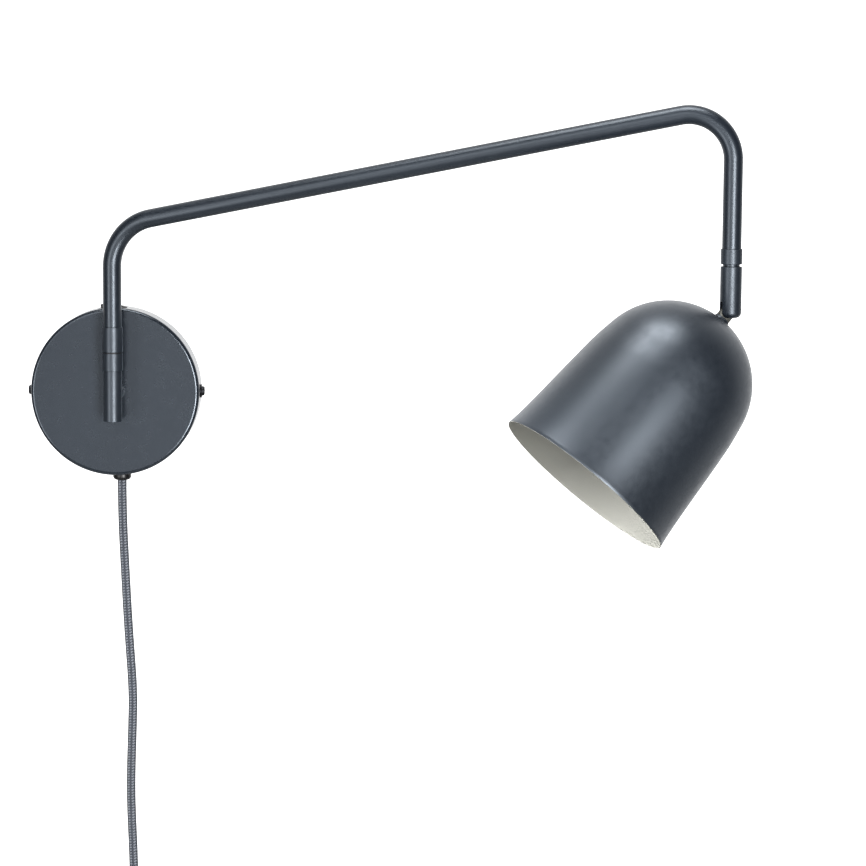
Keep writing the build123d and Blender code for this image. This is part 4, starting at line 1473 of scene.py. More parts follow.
@dataclass
class Stem(SubAssembly):
    """The bare tongue that tilts in the slot, its threaded stem and the small collar."""

    blade_radius: float = 4.8
    blade_thickness: float = 3.7
    collar_distance: float = 8.7
    collar_top_radius: float = 5.4
    collar_base_radius: float = 5.6
    collar_thickness: float = 2.0
    thread_radius: float = 4.95
    thread_length: float = 15.3
    pin_hole_radius: float = 1.55
    rounding_steps: int = 32
    foot_overlap: float = 0.3
    point: float = 0.9
    thread_relief: float = 0.6
    thread_pitch: float = 1.0
    thread_depth: float = 0.4
    collar_edge: float = 0.25
    collar_lip: float = 0.3
    tooth_root: float = 0.1
    tooth_height: float = 0.12
    teeth: int = 28

    def build(self) -> None:
        """Make the tongue with its stem, and the collar."""
        self._tongue()
        self._collar()

    def _tongue(self) -> None:
        """Draw the tongue's outline, thicken it, drill it and add the turned stem."""
        pivot, axis, pin = PLACES.tilt_pivot, PLACES.shade_direction, PLACES.slot_normal
        across = pin.cross(axis)
        half = pin * (self.blade_thickness / 2)
        steps = self.rounding_steps
        rounding = [
            pivot
            - half
            + across * (self.blade_radius * math.cos(angle))
            - axis * (self.blade_radius * math.sin(angle))
            for angle in (HALF_TURN * step / steps for step in range(steps + 1))
        ]
        foot = pivot - half + axis * (self.collar_distance + self.foot_overlap)
        outline = [
            foot + across * self.blade_radius,
            *rounding,
            foot - across * self.blade_radius,
            foot + across * self.blade_radius,
        ]
        tongue = Bench.line("tongue", [point * MM for point in outline])
        with Bench.editing(tongue):
            Bench.close_up()
            bpy.ops.mesh.edge_face_add()
            bpy.ops.mesh.extrude_region_move(TRANSFORM_OT_translate={"value": half * 2 * MM})
            Bench.close_up()
        drill = Bench.rod("drill", pivot, pin, self.pin_hole_radius, length=12.0, steps=48)
        Bench.cut(tongue, drill)
        Bench.ease(tongue, width=0.3, segments=3, corner=50.0)
        start = self.collar_distance
        end = start + self.thread_length
        turns = thread(
            start, end - self.thread_relief, self.thread_radius, self.thread_pitch,
            self.thread_depth,
        )
        profile = [
            (start, 0.0),
            *turns,
            (end, self.thread_radius - self.point),
            (end, 0.0),
        ]
        shank = Bench.turn("shank", profile, pivot, axis, steps=64, closed=False)
        stem = Bench.join("tongue_and_stem", shank, tongue)
        Bench.smooth(stem, corner=35.0)
        self.enrol(stem, Body.SHADE, Slot.BRASS, "tilt_stem")

    def _collar(self) -> None:
        """Turn the collar, and draw every other facet of its side out into a tooth."""
        start = self.collar_distance
        end = start + self.collar_thickness
        bore = self.thread_radius + PLACES.gap
        profile = [
            (start, bore),
            (start, self.collar_top_radius - self.collar_edge),
            (start + self.collar_lip, self.collar_top_radius - self.tooth_root),
            (end, self.collar_base_radius - self.tooth_root),
            (end, bore),
        ]
        pivot, axis = PLACES.tilt_pivot, PLACES.shade_direction
        collar = Bench.turn("stem_collar_turned", profile, pivot, axis, steps=4 * self.teeth)
        with Bench.editing(collar):
            Bench.choose_faces(lambda place, normal: in_tooth(place, normal, self.teeth))
            bpy.ops.mesh.extrude_region_shrink_fatten(
                TRANSFORM_OT_shrink_fatten={"value": self.tooth_height * MM}
            )
        self.enrol_fitting(collar, Body.SHADE, "stem_collar", corner=35.0)


@dataclass
class Shade(SubAssembly):
    """The spun bell, painted outside and cream inside."""

    apex: float = 10.7
    wall: float = 0.8
    height: float = 145.0
    dome_radius: float = 56.5
    dome_end_slope: float = 9.5
    shoulder_height: float = 79.4
    shoulder_radius: float = 58.5
    waist_height: float = 28.0
    waist_radius: float = 62.4
    rim_radius: float = 65.3
    rim_slope: float = 8.5
    hole_radius: float = 5.0
    dome_steps: int = 40
    flank_steps: int = 12
    flank_ease: float = 0.9
    bead_angle: float = 80.0
    bead_steps: int = 8
    cream_on_rim: float = 0.35
    cream_in_dome: float = -0.5

    def build(self) -> None:
        """Spin the bell from a line that runs down its outside and back up its inside."""
        outside = self._face(0.0)
        inside = self._face(self.wall)
        rim = self.apex + self.height
        half = self.wall / 2
        bead = arc(
            (rim - half, self.rim_radius - half), half, self.bead_angle, -self.bead_angle,
            self.bead_steps,
        )
        profile = [*outside[:-1], *bead, *reversed(inside[:-1])]
        bell = Bench.turn(
            "shade_bell", profile, PLACES.tilt_pivot, PLACES.shade_direction, steps=160
        )
        self.enrol(
            bell, Body.SHADE, Slot.SHADE_PAINT, "shade", extra=[self.palette.shade_inside]
        )
        with Bench.editing(bell):
            Bench.choose_faces(self._is_inside)
            bell.active_material_index = 1
            bpy.ops.object.material_slot_assign()
        Bench.smooth(bell, corner=50.0)
        self.keep(Slot.ZINC, "shade_nut")

    def _is_inside(self, place: Vector, normal: Vector) -> bool:
        """Say whether a face of the bell is one that its mouth shows.

        Args:
            place: The face's centre in metres.
            normal: Its normal.

        Returns:
            Whether it is.
        """
        offset = place - PLACES.tilt_pivot * MM
        axis = PLACES.shade_direction
        away = offset - axis * offset.dot(axis)
        middle = axis * (self.apex + self.dome_radius) * MM
        if offset.dot(axis) > middle.dot(axis):
            inwards = normal.dot(away.normalized()) < 0.0
            return inwards or normal.dot(axis) > self.cream_on_rim
        return normal.dot((offset - middle).normalized()) < self.cream_in_dome

    def _face(self, inset: float) -> Line:
        """List one face's line, from the hole to the rim.

        Args:
            inset: How far it lies inside the outer face.

        Returns:
            The points, along the axis and out from it.
        """
        radius = self.dome_radius - inset
        centre = self.apex + self.dome_radius
        rim = self.apex + self.height
        first = 180.0 - math.degrees(math.asin(self.hole_radius / radius))
        dome = arc((centre, 0.0), radius, first, 90.0 + self.dome_end_slope, self.dome_steps)
        knots = [
            dome[-1],
            (rim - self.shoulder_height, self.shoulder_radius - inset),
            (rim - self.waist_height, self.waist_radius - inset),
            (rim, self.rim_radius - inset),
        ]
        slopes = [
            math.tan(math.radians(self.dome_end_slope)),
            (knots[2][1] - knots[0][1]) / (knots[2][0] - knots[0][0]),
            (knots[3][1] - knots[1][1]) / (knots[3][0] - knots[1][0]) * self.flank_ease,
            math.tan(math.radians(self.rim_slope)),
        ]
        line = list(dome)
        for index in range(3):
            line += self._run(
                knots[index], knots[index + 1], slopes[index], slopes[index + 1]
            )
        return line

    def _run(
        self,
        start: tuple[float, float],
        end: tuple[float, float],
        start_slope: float,
        end_slope: float,
    ) -> Line:
        """List the points of one smooth run between two knots, its start left out.

        Args:
            start: The first knot.
            end: The second knot.
            start_slope: The line's slope at the first.
            end_slope: Its slope at the second.

        Returns:
            The points.
        """
        length = end[0] - start[0]
        points = []
        for step in range(1, self.flank_steps + 1):
            t = step / self.flank_steps
            out = (
                (2 * t**3 - 3 * t**2 + 1) * start[1]
                + (t**3 - 2 * t**2 + t) * length * start_slope
                + (3 * t**2 - 2 * t**3) * end[1]
                + (t**3 - t**2) * length * end_slope
            )
            points.append((start[0] + length * t, out))
        return points


@dataclass
class LampHolder(SubAssembly):
    """The screw-cap holder inside the shade."""

    cap_top: float = 16.96
    boss_length: float = 6.0
    boss_radius: float = 8.5
    cap_length: float = 17.0
    radius: float = 19.5
    wall: float = 1.8
    shell_length: float = 38.0
    rim: float = 1.6
    rim_hole_radius: float = 14.2
    stem_hole_radius: float = 5.0
    insert_end: float = 43.96
    thread_length: float = 24.0
    thread_crest: float = 13.3
    thread_depth: float = 0.9
    thread_wall: float = 0.45
    thread_pitch: float = 3.62
    thread_steps: int = 72
    wave_steps: int = 12
    edge: float = 0.5
    boss_fillet: float = 0.6
    cap_edge: float = 1.0
    lip: float = 0.3
    groove_start: float = 4.0
    groove_end: float = 5.4
    groove_depth: float = 0.35
    side_end: float = 9.0
    end_radius: float = 1.4
    flute_start: float = 6.0
    flute_end: float = 2.0
    flute_edge: float = 0.12
    ribs: int = 36

    def build(self) -> None:
        """Make the cap, the shell and the threaded shell."""
        self._cap()
        self._shell()
        self._threaded_shell()
        self.keep(Slot.HOLDER_CERAMIC, "holder_insert")
        self.keep(Slot.CONTACT_BRASS, "centre_contact")

    def _cap(self) -> None:
        """Turn the cap over the holder's terminals."""
        shell_top = self.cap_top + self.cap_length
        inner = self.radius - self.wall
        boss_end = self.cap_top + self.boss_length
        profile = [
            (self.cap_top, self.stem_hole_radius),
            (self.cap_top, self.boss_radius - self.edge),
            (self.cap_top + self.edge, self.boss_radius),
            (boss_end - self.boss_fillet, self.boss_radius),
            (boss_end + self.lip, self.boss_radius + self.edge),
            (shell_top - self.cap_edge, self.radius - self.cap_edge),
            (shell_top - self.lip, self.radius - self.lip),
            (shell_top - PLACES.gap, self.radius - self.lip),
            (shell_top - PLACES.gap, inner),
            (boss_end + self.wall, self.boss_radius - self.wall / 2),
            (boss_end + self.wall, self.stem_hole_radius),
        ]
        axis = PLACES.shade_direction
        cap = Bench.turn("holder_cap_turned", profile, PLACES.tilt_pivot, axis)
        Bench.smooth(cap, corner=32.0)
        Bench.weigh(cap)
        self.enrol(cap, Body.SHADE, Slot.HOLDER_PLASTIC, "holder_cap")

    def _shell(self) -> None:
        """Turn the shell, with a rounded end and a grip of fine flutes."""
        top = self.cap_top + self.cap_length
        end = top + self.shell_length
        inner = self.radius - self.wall
        groove = self.radius - self.groove_depth
        rounding = self.end_radius
        profile = [
            (top, inner),
            (top, self.radius - self.edge),
            (top + self.edge, self.radius),
            (top + self.groove_start, self.radius),
            (top + self.groove_start + self.lip, groove),
            (top + self.groove_end - self.lip, groove),
            (top + self.groove_end, self.radius),
            (end - self.side_end, self.radius),
            *arc((end - rounding, self.radius - rounding), rounding, 90.0, 0.0, 8),
            (end, self.rim_hole_radius + self.lip),
            (end - self.lip, self.rim_hole_radius),
            (end - self.rim, self.rim_hole_radius),
            (end - self.rim, inner),
        ]
        axis = PLACES.shade_direction
        pivot, steps = PLACES.tilt_pivot, 4 * self.ribs
        shell = Bench.turn("holder_shell_turned", profile, pivot, axis, steps)
        with Bench.editing(shell):
            Bench.choose_faces(self._is_flute)
            edge, depth = self.flute_edge * MM, self.groove_depth * MM
            bpy.ops.mesh.inset(thickness=edge, depth=-depth, use_boundary=True)
        Bench.smooth(shell, corner=32.0)
        Bench.weigh(shell)
        self.enrol(shell, Body.SHADE, Slot.HOLDER_PLASTIC, "holder_shell")

    def _is_flute(self, place: Vector, normal: Vector) -> bool:
        """Say whether a face of the shell's side is the floor of a flute.

        Args:
            place: The face's centre in metres.
            normal: Its normal.

        Returns:
            Whether it is.
        """
        along = (place - PLACES.tilt_pivot * MM).dot(PLACES.shade_direction) / MM
        top = self.cap_top + self.cap_length
        end = top + self.shell_length
        in_band = top + self.flute_start < along < end - self.flute_end
        return in_band and in_tooth(place, normal, self.ribs)

    def _threaded_shell(self) -> None:
        """Wind one pitch of rolled thread up into the threaded shell."""
        pitch, crest = self.thread_pitch, self.thread_crest
        turns = round(self.thread_length / pitch - 0.5)
        start = self.insert_end + (self.thread_length - turns * pitch) / 2
        middle = crest + self.thread_depth / 2
        count = self.wave_steps
        wave = [
            Vector((
                (middle - self.thread_depth / 2 * math.cos(FULL_TURN * step / count)) * MM,
                0.0,
                (pitch * step / count) * MM,
            ))
            for step in range(count + 1)
        ]
        shell = Bench.line("thread_shell_rolled", wave)
        steps = self.thread_steps
        Bench.apply(
            shell, "SCREW", axis="Z", angle=FULL_TURN, screw_offset=pitch * MM,
            iterations=turns - 1, steps=steps, render_steps=steps, use_merge_vertices=True,
        )
        with Bench.editing(shell):
            Bench.close_up(width=2e-5)
        Bench.apply(shell, "SOLIDIFY", thickness=self.thread_wall * MM, offset=-1.0)
        axis = PLACES.shade_direction
        place = (PLACES.tilt_pivot + axis * start) * MM
        Bench.pick(shell)
        shell.matrix_world = Matrix.Translation(place) @ axis.to_track_quat(
            "Z", "Y"
        ).to_matrix().to_4x4()
        bpy.ops.object.transform_apply(location=True, rotation=True, scale=True)
        Bench.smooth(shell, corner=50.0)
        self.enrol(shell, Body.SHADE, Slot.CONTACT_BRASS, "thread_shell")


@dataclass
class RockerSwitch(SubAssembly):
    """The rocker on top of the canopy, pressed down at its right end."""

    centre_x: float = -2.4
    depth: float = 12.5
    pivot_height: float = 55.0
    half_length: float = 9.3
    end_rise: float = 5.96
    crown: float = 0.8
    width: float = 8.4
    throw: float = 5.35
    root_half_length: float = 5.5
    root_drop: float = 2.0
    shoulder_half_length: float = 8.0
    shoulder_rise: float = 2.4
    trunnion_radius: float = 1.0
    trunnion_length: float = 0.9
    trunnion_edge: float = 0.2
    crown_steps: int = 16

    def build(self) -> None:
        """Draw the rocker's side, thicken it and round its edges."""
        throw = math.radians(self.throw)
        along = Vector((math.cos(throw), 0.0, -math.sin(throw)))
        up = Vector((math.sin(throw), 0.0, math.cos(throw)))
        pivot = Vector((self.centre_x, -self.depth, self.pivot_height))
        near = pivot + OUT * (self.width / 2)
        side = [
            (-self.half_length, self.end_rise),
            (-self.shoulder_half_length, self.shoulder_rise),
            (-self.root_half_length, -self.root_drop),
            (self.root_half_length, -self.root_drop),
            (self.shoulder_half_length, self.shoulder_rise),
        ]
        for step in range(self.crown_steps + 1):
            share = 1.0 - 2.0 * step / self.crown_steps
            rise = self.end_rise + self.crown * (1.0 - share * share)
            side.append((self.half_length * share, rise))
        points = [near + along * x + up * z for x, z in side]
        rocker = Bench.line("rocker", [point * MM for point in points])
        with Bench.editing(rocker):
            Bench.close_up()
            bpy.ops.mesh.edge_face_add()
            bpy.ops.mesh.extrude_region_move(
                TRANSFORM_OT_translate={"value": -OUT * (self.width * MM)}
            )
            Bench.close_up()
        Bench.ease(rocker, width=0.4, segments=3, corner=30.0)
        reach, edge = self.width / 2 + self.trunnion_length, self.trunnion_edge
        profile = [
            (-reach, 0.0),
            (-reach, self.trunnion_radius - edge),
            (edge - reach, self.trunnion_radius),
            (reach - edge, self.trunnion_radius),
            (reach, self.trunnion_radius - edge),
            (reach, 0.0),
        ]
        trunnion = Bench.turn("trunnion", profile, pivot, OUT, steps=32, closed=False)
        whole = Bench.join("switch_rocker_moulded", trunnion, rocker)
        Bench.smooth(whole, corner=30.0)
        self.enrol(whole, Body.ROCKER, Slot.ROCKER_BLACK, "switch_rocker")
        self.keep(Slot.BLACK_PLASTIC, "switch_body")


@dataclass
class MainsLead(SubAssembly):
    """The textile lead: its grip, its free run, its put-away coil, the tie and the plug."""

    diameter: float = 6.5
    exit_x: float = 3.6
    exit_depth: float = 12.5
    grip_bottom: float = -64.392
    grip_height: float = 9.0
    grip_radius: float = 6.5
    grip_end_radius: float = 2.6
    grip_neck_radius: float = 4.9
    grip_lock_radius: float = 6.0
    lock_bottom: float = -57.92
    lock_height: float = 4.0
    lock_edge: float = 0.3
    lock_chamfer: float = 0.8
    grip_bore_radius: float = 3.2
    coil_centre_x: float = -31.2
    coil_centre_height: float = -408.0
    coil_outer_radius: float = 42.4
    coil_pitch: float = 8.2
    coil_layer_depth: float = 11.0
    coil_layer_step: float = 7.3
    coil_layers: int = 4
    points_in_half_turn: int = 8
    plug_x: float = 22.2
    tie_sizes: Triple = (16.9, 30.6, 8.0)
    tie_thickness: float = 1.2
    tie_corner: float = 3.5
    tail_sizes: Triple = (7.6, 0.9, 7.2)
    tail_inset: float = 6.2
    tail_lift: float = 0.35
    tube_facets: int = 24
    route: tuple[Triple, ...] = (
        (3.6, -12.5, -64.392),
        (3.6, -12.5, -88.0),
        (5.4, -12.3, -128.0),
        (7.6, -12.0, -172.0),
        (10.9, -11.7, -219.0),
        (10.3, -11.6, -243.0),
        (9.0, -11.5, -280.0),
        (9.0, -11.4, -303.0),
        (10.6, -11.2, -341.0),
        (11.2, -11.0, -376.0),
        (11.2, -11.0, -401.5),
    )

    def build(self) -> None:
        self._grip()
        line = self._spline()
        lead, path = self._tube(line)
        self.enrol(lead, Body.WALL, Slot.BRAID, "mains_cord", "cord_coil")
        tie = self._tie()
        plug = Plug(self.palette).build()
        length = sum((b - a).length for a, b in zip(path, path[1:]))
        LOG.info("the lead is %.3f m long", length)

    def _grip(self) -> None:
        """Turn the grip's dome, fit it to the canopy's side and add its neck and lock."""
        centre = Vector((self.exit_x, -self.exit_depth, 0.0))
        rounding = self.grip_end_radius
        bottom = self.grip_bottom
        bend = (bottom + rounding, self.grip_radius - rounding)
        dome_profile = [
            (bottom, self.grip_bore_radius),
            *arc(bend, rounding, 180.0, 90.0, 12),
            (bottom + self.grip_height, self.grip_radius),
            (bottom + self.grip_height, self.grip_bore_radius),
        ]
        dome = Bench.turn("grip_dome", dome_profile, centre, UP)
        saddle = PLACES.canopy_radius + PLACES.gap
        middle = OUT * self.exit_depth
        pan = Bench.rod("saddle", middle, OUT, saddle, length=30.0, steps=256)
        Bench.cut(dome, pan)
        lock_top = self.lock_bottom + self.lock_height
        neck_profile = [
            (bottom + rounding, self.grip_bore_radius),
            (bottom + rounding, self.grip_neck_radius),
            (self.lock_bottom, self.grip_neck_radius),
            (self.lock_bottom, self.grip_lock_radius - self.lock_edge),
            (self.lock_bottom + self.lock_edge, self.grip_lock_radius),
            (lock_top - self.lock_chamfer, self.grip_lock_radius),
            (lock_top, self.grip_lock_radius - self.lock_chamfer),
            (lock_top, self.grip_bore_radius),
        ]
        neck = Bench.turn("grip_neck", neck_profile, centre, UP, steps=64)
        grip = Bench.join("cord_grip_moulded", neck, dome)
        Bench.smooth(grip, corner=35.0)
        Bench.weigh(grip)
        self.enrol(grip, Body.WALL, Slot.BLACK_PLASTIC, "cord_grip")

    def _coil_points(self) -> list[Vector]:
        """List the coil's control points, half turn by half turn.

        Each half turn runs between two crossings of the coil's level middle line. Its
        points stand a little outside it, so that the spline itself runs along it.

        Returns:
            The points in millimetres.
        """
        radii = [self.coil_outer_radius - self.coil_pitch / 2 * step for step in range(3)]
        crossings = []
        for layer in range(self.coil_layers):
            depth = -self.coil_layer_depth - self.coil_layer_step * layer
            for radius in radii if layer % 2 == 0 else reversed(radii):
                side = 1.0 if len(crossings) % 2 == 0 else -1.0
                x = self.coil_centre_x + side * radius
                crossings.append(Vector((x, depth, self.coil_centre_height)))
        last_depth = -self.coil_layer_depth - self.coil_layer_step * (self.coil_layers - 1)
        crossings.append(Vector((self.plug_x, last_depth, self.coil_centre_height)))
        count = self.points_in_half_turn
        stand_off = 1.0 / math.cos(HALF_TURN / count / 2)
        heading = -UP
        points = []
        for start, end in zip(crossings, crossings[1:]):
            middle = (start + end) / 2
            reach = (end - start).length / 2
            for step in range(count):
                angle = HALF_TURN * (step + 0.5) / count
                along = (1.0 - math.cos(angle)) / 2
                place = start.lerp(end, along) + heading * (reach * math.sin(angle))
                points.append(middle + (place - middle) * stand_off)
            heading = -heading
        points.append(crossings[-1] + heading * self.diameter)
        return points

    def _spline(self) -> Piece:
        """Lay the lead's line through the route and the coil as one smooth spline.

        Returns:
            The curve object, with no thickness.
        """
        points = [Vector(point) for point in self.route] + self._coil_points()
        curve = bpy.data.curves.new("lead_line", "CURVE")
        curve.dimensions = "3D"
        curve.resolution_u = 12
        spline = curve.splines.new("NURBS")
        spline.points.add(len(points) - 1)
        for knot, point in zip(spline.points, points):
            knot.co = (*(point * MM), 1.0)
        spline.order_u = 3
        spline.use_endpoint_u = True
        line = bpy.data.objects.new("lead_line", curve)
        bpy.context.collection.objects.link(line)
        return line

    def _tube(self, line: Piece) -> tuple[Piece, list[Vector]]:
        """Draw the lead's round cover along its line.

        Args:
            line: The curve object, which is used up.

        Returns:
            The lead's object, and the points along its middle in metres.
        """
        traced = bpy.data.meshes.new_from_object(line)
        path = [vertex.co.copy() for vertex in traced.vertices]
        bpy.data.meshes.remove(traced)
        bpy.data.objects.remove(line)
        radius = self.diameter / 2 * MM
        facets = self.tube_facets
        tangents = [
            (path[min(i + 1, len(path) - 1)] - path[max(i - 1, 0)]).normalized()
            for i in range(len(path))
        ]
        side = RIGHT.copy()
        vertices, lengths, run = [], [], 0.0
        for index, (point, tangent) in enumerate(zip(path, tangents)):
            side = (side - tangent * side.dot(tangent)).normalized()
            other = tangent.cross(side)
            for facet in range(facets):
                angle = FULL_TURN * facet / facets
                vertices.append(
                    point + (side * math.cos(angle) + other * math.sin(angle)) * radius
                )
            run += (point - path[index - 1]).length if index else 0.0
            lengths.append(run / (FULL_TURN * radius))
        faces = []
        for ring in range(len(path) - 1):
            for facet in range(facets):
                here = ring * facets + facet
                beside = ring * facets + (facet + 1) % facets
                faces.append((here, beside, beside + facets, here + facets))
        faces.append(tuple(reversed(range(facets))))
        faces.append(tuple(range(len(vertices) - facets, len(vertices))))
        mesh = bpy.data.meshes.new("textile_lead")
        mesh.from_pydata(vertices, [], faces)
        layer = mesh.uv_layers.new(name="braid")
        for face in mesh.polygons:
            for corner, loop in enumerate(face.loop_indices):
                ring, facet = divmod(mesh.loops[loop].vertex_index, facets)
                wrapped = face.index % facets == facets - 1 and corner in (1, 2)
                around = 1.0 if wrapped and facet == 0 else facet / facets
                layer.data[loop].uv = (around, lengths[ring])
        lead = bpy.data.objects.new("textile_lead", mesh)
        bpy.context.collection.objects.link(lead)
        Bench.smooth(lead, corner=60.0)
        return lead, path

    def _tie(self) -> Piece:
        """Bend the band round the coil's left side and lay its end over itself.

        Returns:
            The tie.
        """
        wide, deep, tall = self.tie_sizes
        inner = self.coil_outer_radius - self.coil_pitch
        x = self.coil_centre_x - (self.coil_outer_radius + inner) / 2
        depth = self.coil_layer_depth + self.coil_layer_step * (self.coil_layers - 1) / 2
        centre = Vector((x, -depth, self.coil_centre_height))
        band = Bench.block("coil_tie_band", centre, self.tie_sizes, RIGHT, UP)
        with Bench.editing(band, "FACE"):
            Bench.choose_faces(lambda place, normal: abs(normal.z) > FACING)
            bpy.ops.mesh.delete(type="FACE")
            Bench.choose_edges(lambda a, b: abs(a.z - b.z) > tall * MM / 2)
            bpy.ops.mesh.bevel(offset=self.tie_corner * MM, segments=8, affect="EDGES")
            Bench.close_up()
        Bench.apply(band, "SOLIDIFY", thickness=self.tie_thickness * MM, offset=-1.0)
        Bench.ease(band, width=0.3, segments=2, corner=60.0)
        aside, forward = wide / 2 - self.tail_inset, deep / 2 + self.tail_lift
        place = centre + RIGHT * aside + OUT * forward
        tail = Bench.block("tail", place, self.tail_sizes, RIGHT, UP)
        Bench.ease(tail, width=0.3, segments=2, corner=60.0)
        whole = Bench.join("coil_tie_band", tail, band)
        Bench.smooth(whole, corner=35.0)
        return self.enrol(whole, Body.WALL, Slot.TIE_BAND, "coil_tie")


@dataclass
class Plug(SubAssembly):
    """The slim two-pin plug at the lead's end."""

    centre_x: float = 22.2
    depth: float = 32.9
    top: float = -414.5
    relief_radius: float = 4.3
    relief_root: float = 3.0
    relief_end: float = 1.0
    rings: int = 5
    ring_shares: Triple = (0.62, 0.68, 0.94)
    ring_depth: float = 0.55
    grooves: int = 4
    groove_start: float = 2.2
    groove_pitch: float = 3.4
    groove_length: float = 15.0
    groove_taper: float = 1.6
    shoulder: float = -428.5
    face_top: float = -450.5
    face: float = -462.5
    width: float = 35.3
    thickness: float = 13.7
    shoulder_width: float = 17.0
    edge_radius: float = 2.2
    pin_spacing: float = 18.6
    pin_radius: float = 2.0
    pin_length: float = 19.0
    pin_inside: float = 8.0
    pin_root_radius: float = 1.6
    sleeve_length: float = 10.0

    def build(self) -> list[Piece]:
        """Make the plug's body and its pins.

        Returns:
            The three pieces.
        """
        body = self._body()
        first = self._pin()
        move = Matrix.Translation((0.0, self.pin_spacing * MM, 0.0))
        second = Bench.copy("plug_pin_back", first, move)
        pins = [first, second]
        for pin in pins:
            self.enrol(
                pin, Body.WALL, Slot.PIN_NICKEL, "plug_pins", extra=[self.palette.pin_sleeve]
            )
            self._sleeve(pin)
        return [body, *pins]

    def _body(self) -> Piece:
        """Draw the body up from its face, shape its relief and sink its finger grips.

        Returns:
            The body.
        """
        middle = Vector((self.centre_x, -self.depth, (self.face + self.face_top) / 2))
        tall = self.face_top - self.face
        sizes = (self.thickness, self.width, tall)
        body = Bench.block("plug_body_moulded", middle, sizes, RIGHT, UP)
        with Bench.editing(body, "FACE"):
            Bench.choose_faces(lambda place, normal: normal.z > FACING)
            rise = (self.shoulder - self.face_top) * MM
            bpy.ops.mesh.extrude_region_move(TRANSFORM_OT_translate={"value": (0, 0, rise)})
            pivot = Vector((self.centre_x, -self.depth, self.shoulder)) * MM
            bpy.ops.transform.resize(
                value=(1.0, self.shoulder_width / self.width, 1.0), center_override=pivot
            )
        Bench.ease(body, width=self.edge_radius, segments=6, corner=20.0)
        root = self.shoulder - self.edge_radius - self.relief_root
        ring = self.relief_radius
        widest = self.thickness / 2 - self.edge_radius
        profile = [(root, 0.0), (root, widest)]
        run = (self.top - self.shoulder - self.relief_end) / self.rings
        crest_end, valley_start, valley_end = (share * run for share in self.ring_shares)
        for index in range(self.rings):
            base = self.shoulder + run * index
            swell = ring + (widest - ring) * (1.0 - (index + 0.5) / self.rings)
            profile += [
                (base, swell),
                (base + crest_end, swell),
                (base + valley_start, swell - self.ring_depth),
                (base + valley_end, swell - self.ring_depth),
            ]
        profile += [(self.top, ring), (self.top, 0.0)]
        centre = Vector((self.centre_x, -self.depth, 0.0))
        relief = Bench.turn("relief", profile, centre, UP, steps=64, closed=False)
        Bench.cut(body, relief, "UNION")
        for side in (-1.0, 1.0):
            x = self.centre_x + side * (self.thickness / 2 + 0.2)
            for row in range(self.grooves):
                height = self.face_top + self.groove_start + self.groove_pitch * row
                place = Vector((x, -self.depth, height))
                sizes = (1.4, self.groove_length - self.groove_taper * row, 1.3)
                Bench.cut(body, Bench.block("groove", place, sizes, RIGHT, UP))
        Bench.smooth(body, corner=30.0)
        Bench.weigh(body)
        return self.enrol(body, Body.WALL, Slot.BLACK_PLASTIC, "plug_body")

    def _pin(self) -> Piece:
        """Turn the front pin, with its rounded tip and its thin root.

        Returns:
            The pin.
        """
        tip = self.face - self.pin_length
        rounding = self.pin_radius / 2
        profile = [
            (tip, 0.0),
            *arc((tip + rounding, self.pin_radius - rounding), rounding, 180.0, 90.0, 6),
            (self.face - self.sleeve_length - 0.15, self.pin_radius),
            (self.face - self.sleeve_length, self.pin_radius - 0.08),
            (self.face - self.sleeve_length + 0.1, self.pin_radius),
            (self.face, self.pin_radius),
            (self.face, self.pin_root_radius),
            (self.face + self.pin_inside, self.pin_root_radius),
            (self.face + self.pin_inside, 0.0),
        ]
        centre = Vector((self.centre_x, -self.depth - self.pin_spacing / 2, 0.0))
        pin = Bench.turn("plug_pin_front", profile, centre, UP, steps=40, closed=False)
        Bench.smooth(pin, corner=35.0)
        return pin

    def _sleeve(self, pin: Piece) -> None:
        """Give the half of a pin next to the plug its insulating sleeve's finish."""
        low = (self.face - self.sleeve_length) * MM
        with Bench.editing(pin):
            Bench.choose_faces(lambda place, normal: place.z > low)
            pin.active_material_index = 1
            bpy.ops.object.material_slot_assign()


# ------------ the studio
@dataclass(frozen=True)
class Softbox:
    """A rectangular lamp that faces the object from a direction."""

    name: str
    azimuth: float
    elevation: float
    distance: float
    width: float
    height: float
    radiance: float
    colour: Colour = (1.0, 1.0, 1.0)

    def hang(self, target: Vector) -> None:
        """Hang the lamp.

        Args:
            target: The point that it faces, in metres.
        """
        azimuth, elevation = math.radians(self.azimuth), math.radians(self.elevation)
        way = Vector((
            math.sin(azimuth) * math.cos(elevation),
            -math.cos(azimuth) * math.cos(elevation),
            math.sin(elevation),
        ))
        light = bpy.data.lights.new(self.name, "AREA")
        light.shape = "RECTANGLE"
        light.size = self.width
        light.size_y = self.height
        light.energy = self.radiance * math.pi * self.width * self.height
        light.color = self.colour
        lamp = bpy.data.objects.new(self.name, light)
        bpy.context.collection.objects.link(lamp)
        lamp.location = target + way * self.distance
        lamp.rotation_euler = (-way).to_track_quat("-Z", "Y").to_euler()


@dataclass(frozen=True)
class Snoot:
    """A narrow lamp that reaches into the shade's mouth alone."""

    name: str
    place: Triple
    aim: Triple
    radius: float
    cone: float
    power: float

    def hang(self) -> None:
        """Hang the lamp."""
        light = bpy.data.lights.new(self.name, "SPOT")
        light.energy = self.power
        light.shadow_soft_size = self.radius
        light.spot_size = math.radians(self.cone)
        light.spot_blend = 0.5
        lamp = bpy.data.objects.new(self.name, light)
        bpy.context.collection.objects.link(lamp)
        lamp.location = self.place
        way = Vector(self.aim) - Vector(self.place)
        lamp.rotation_euler = way.to_track_quat("-Z", "Y").to_euler()


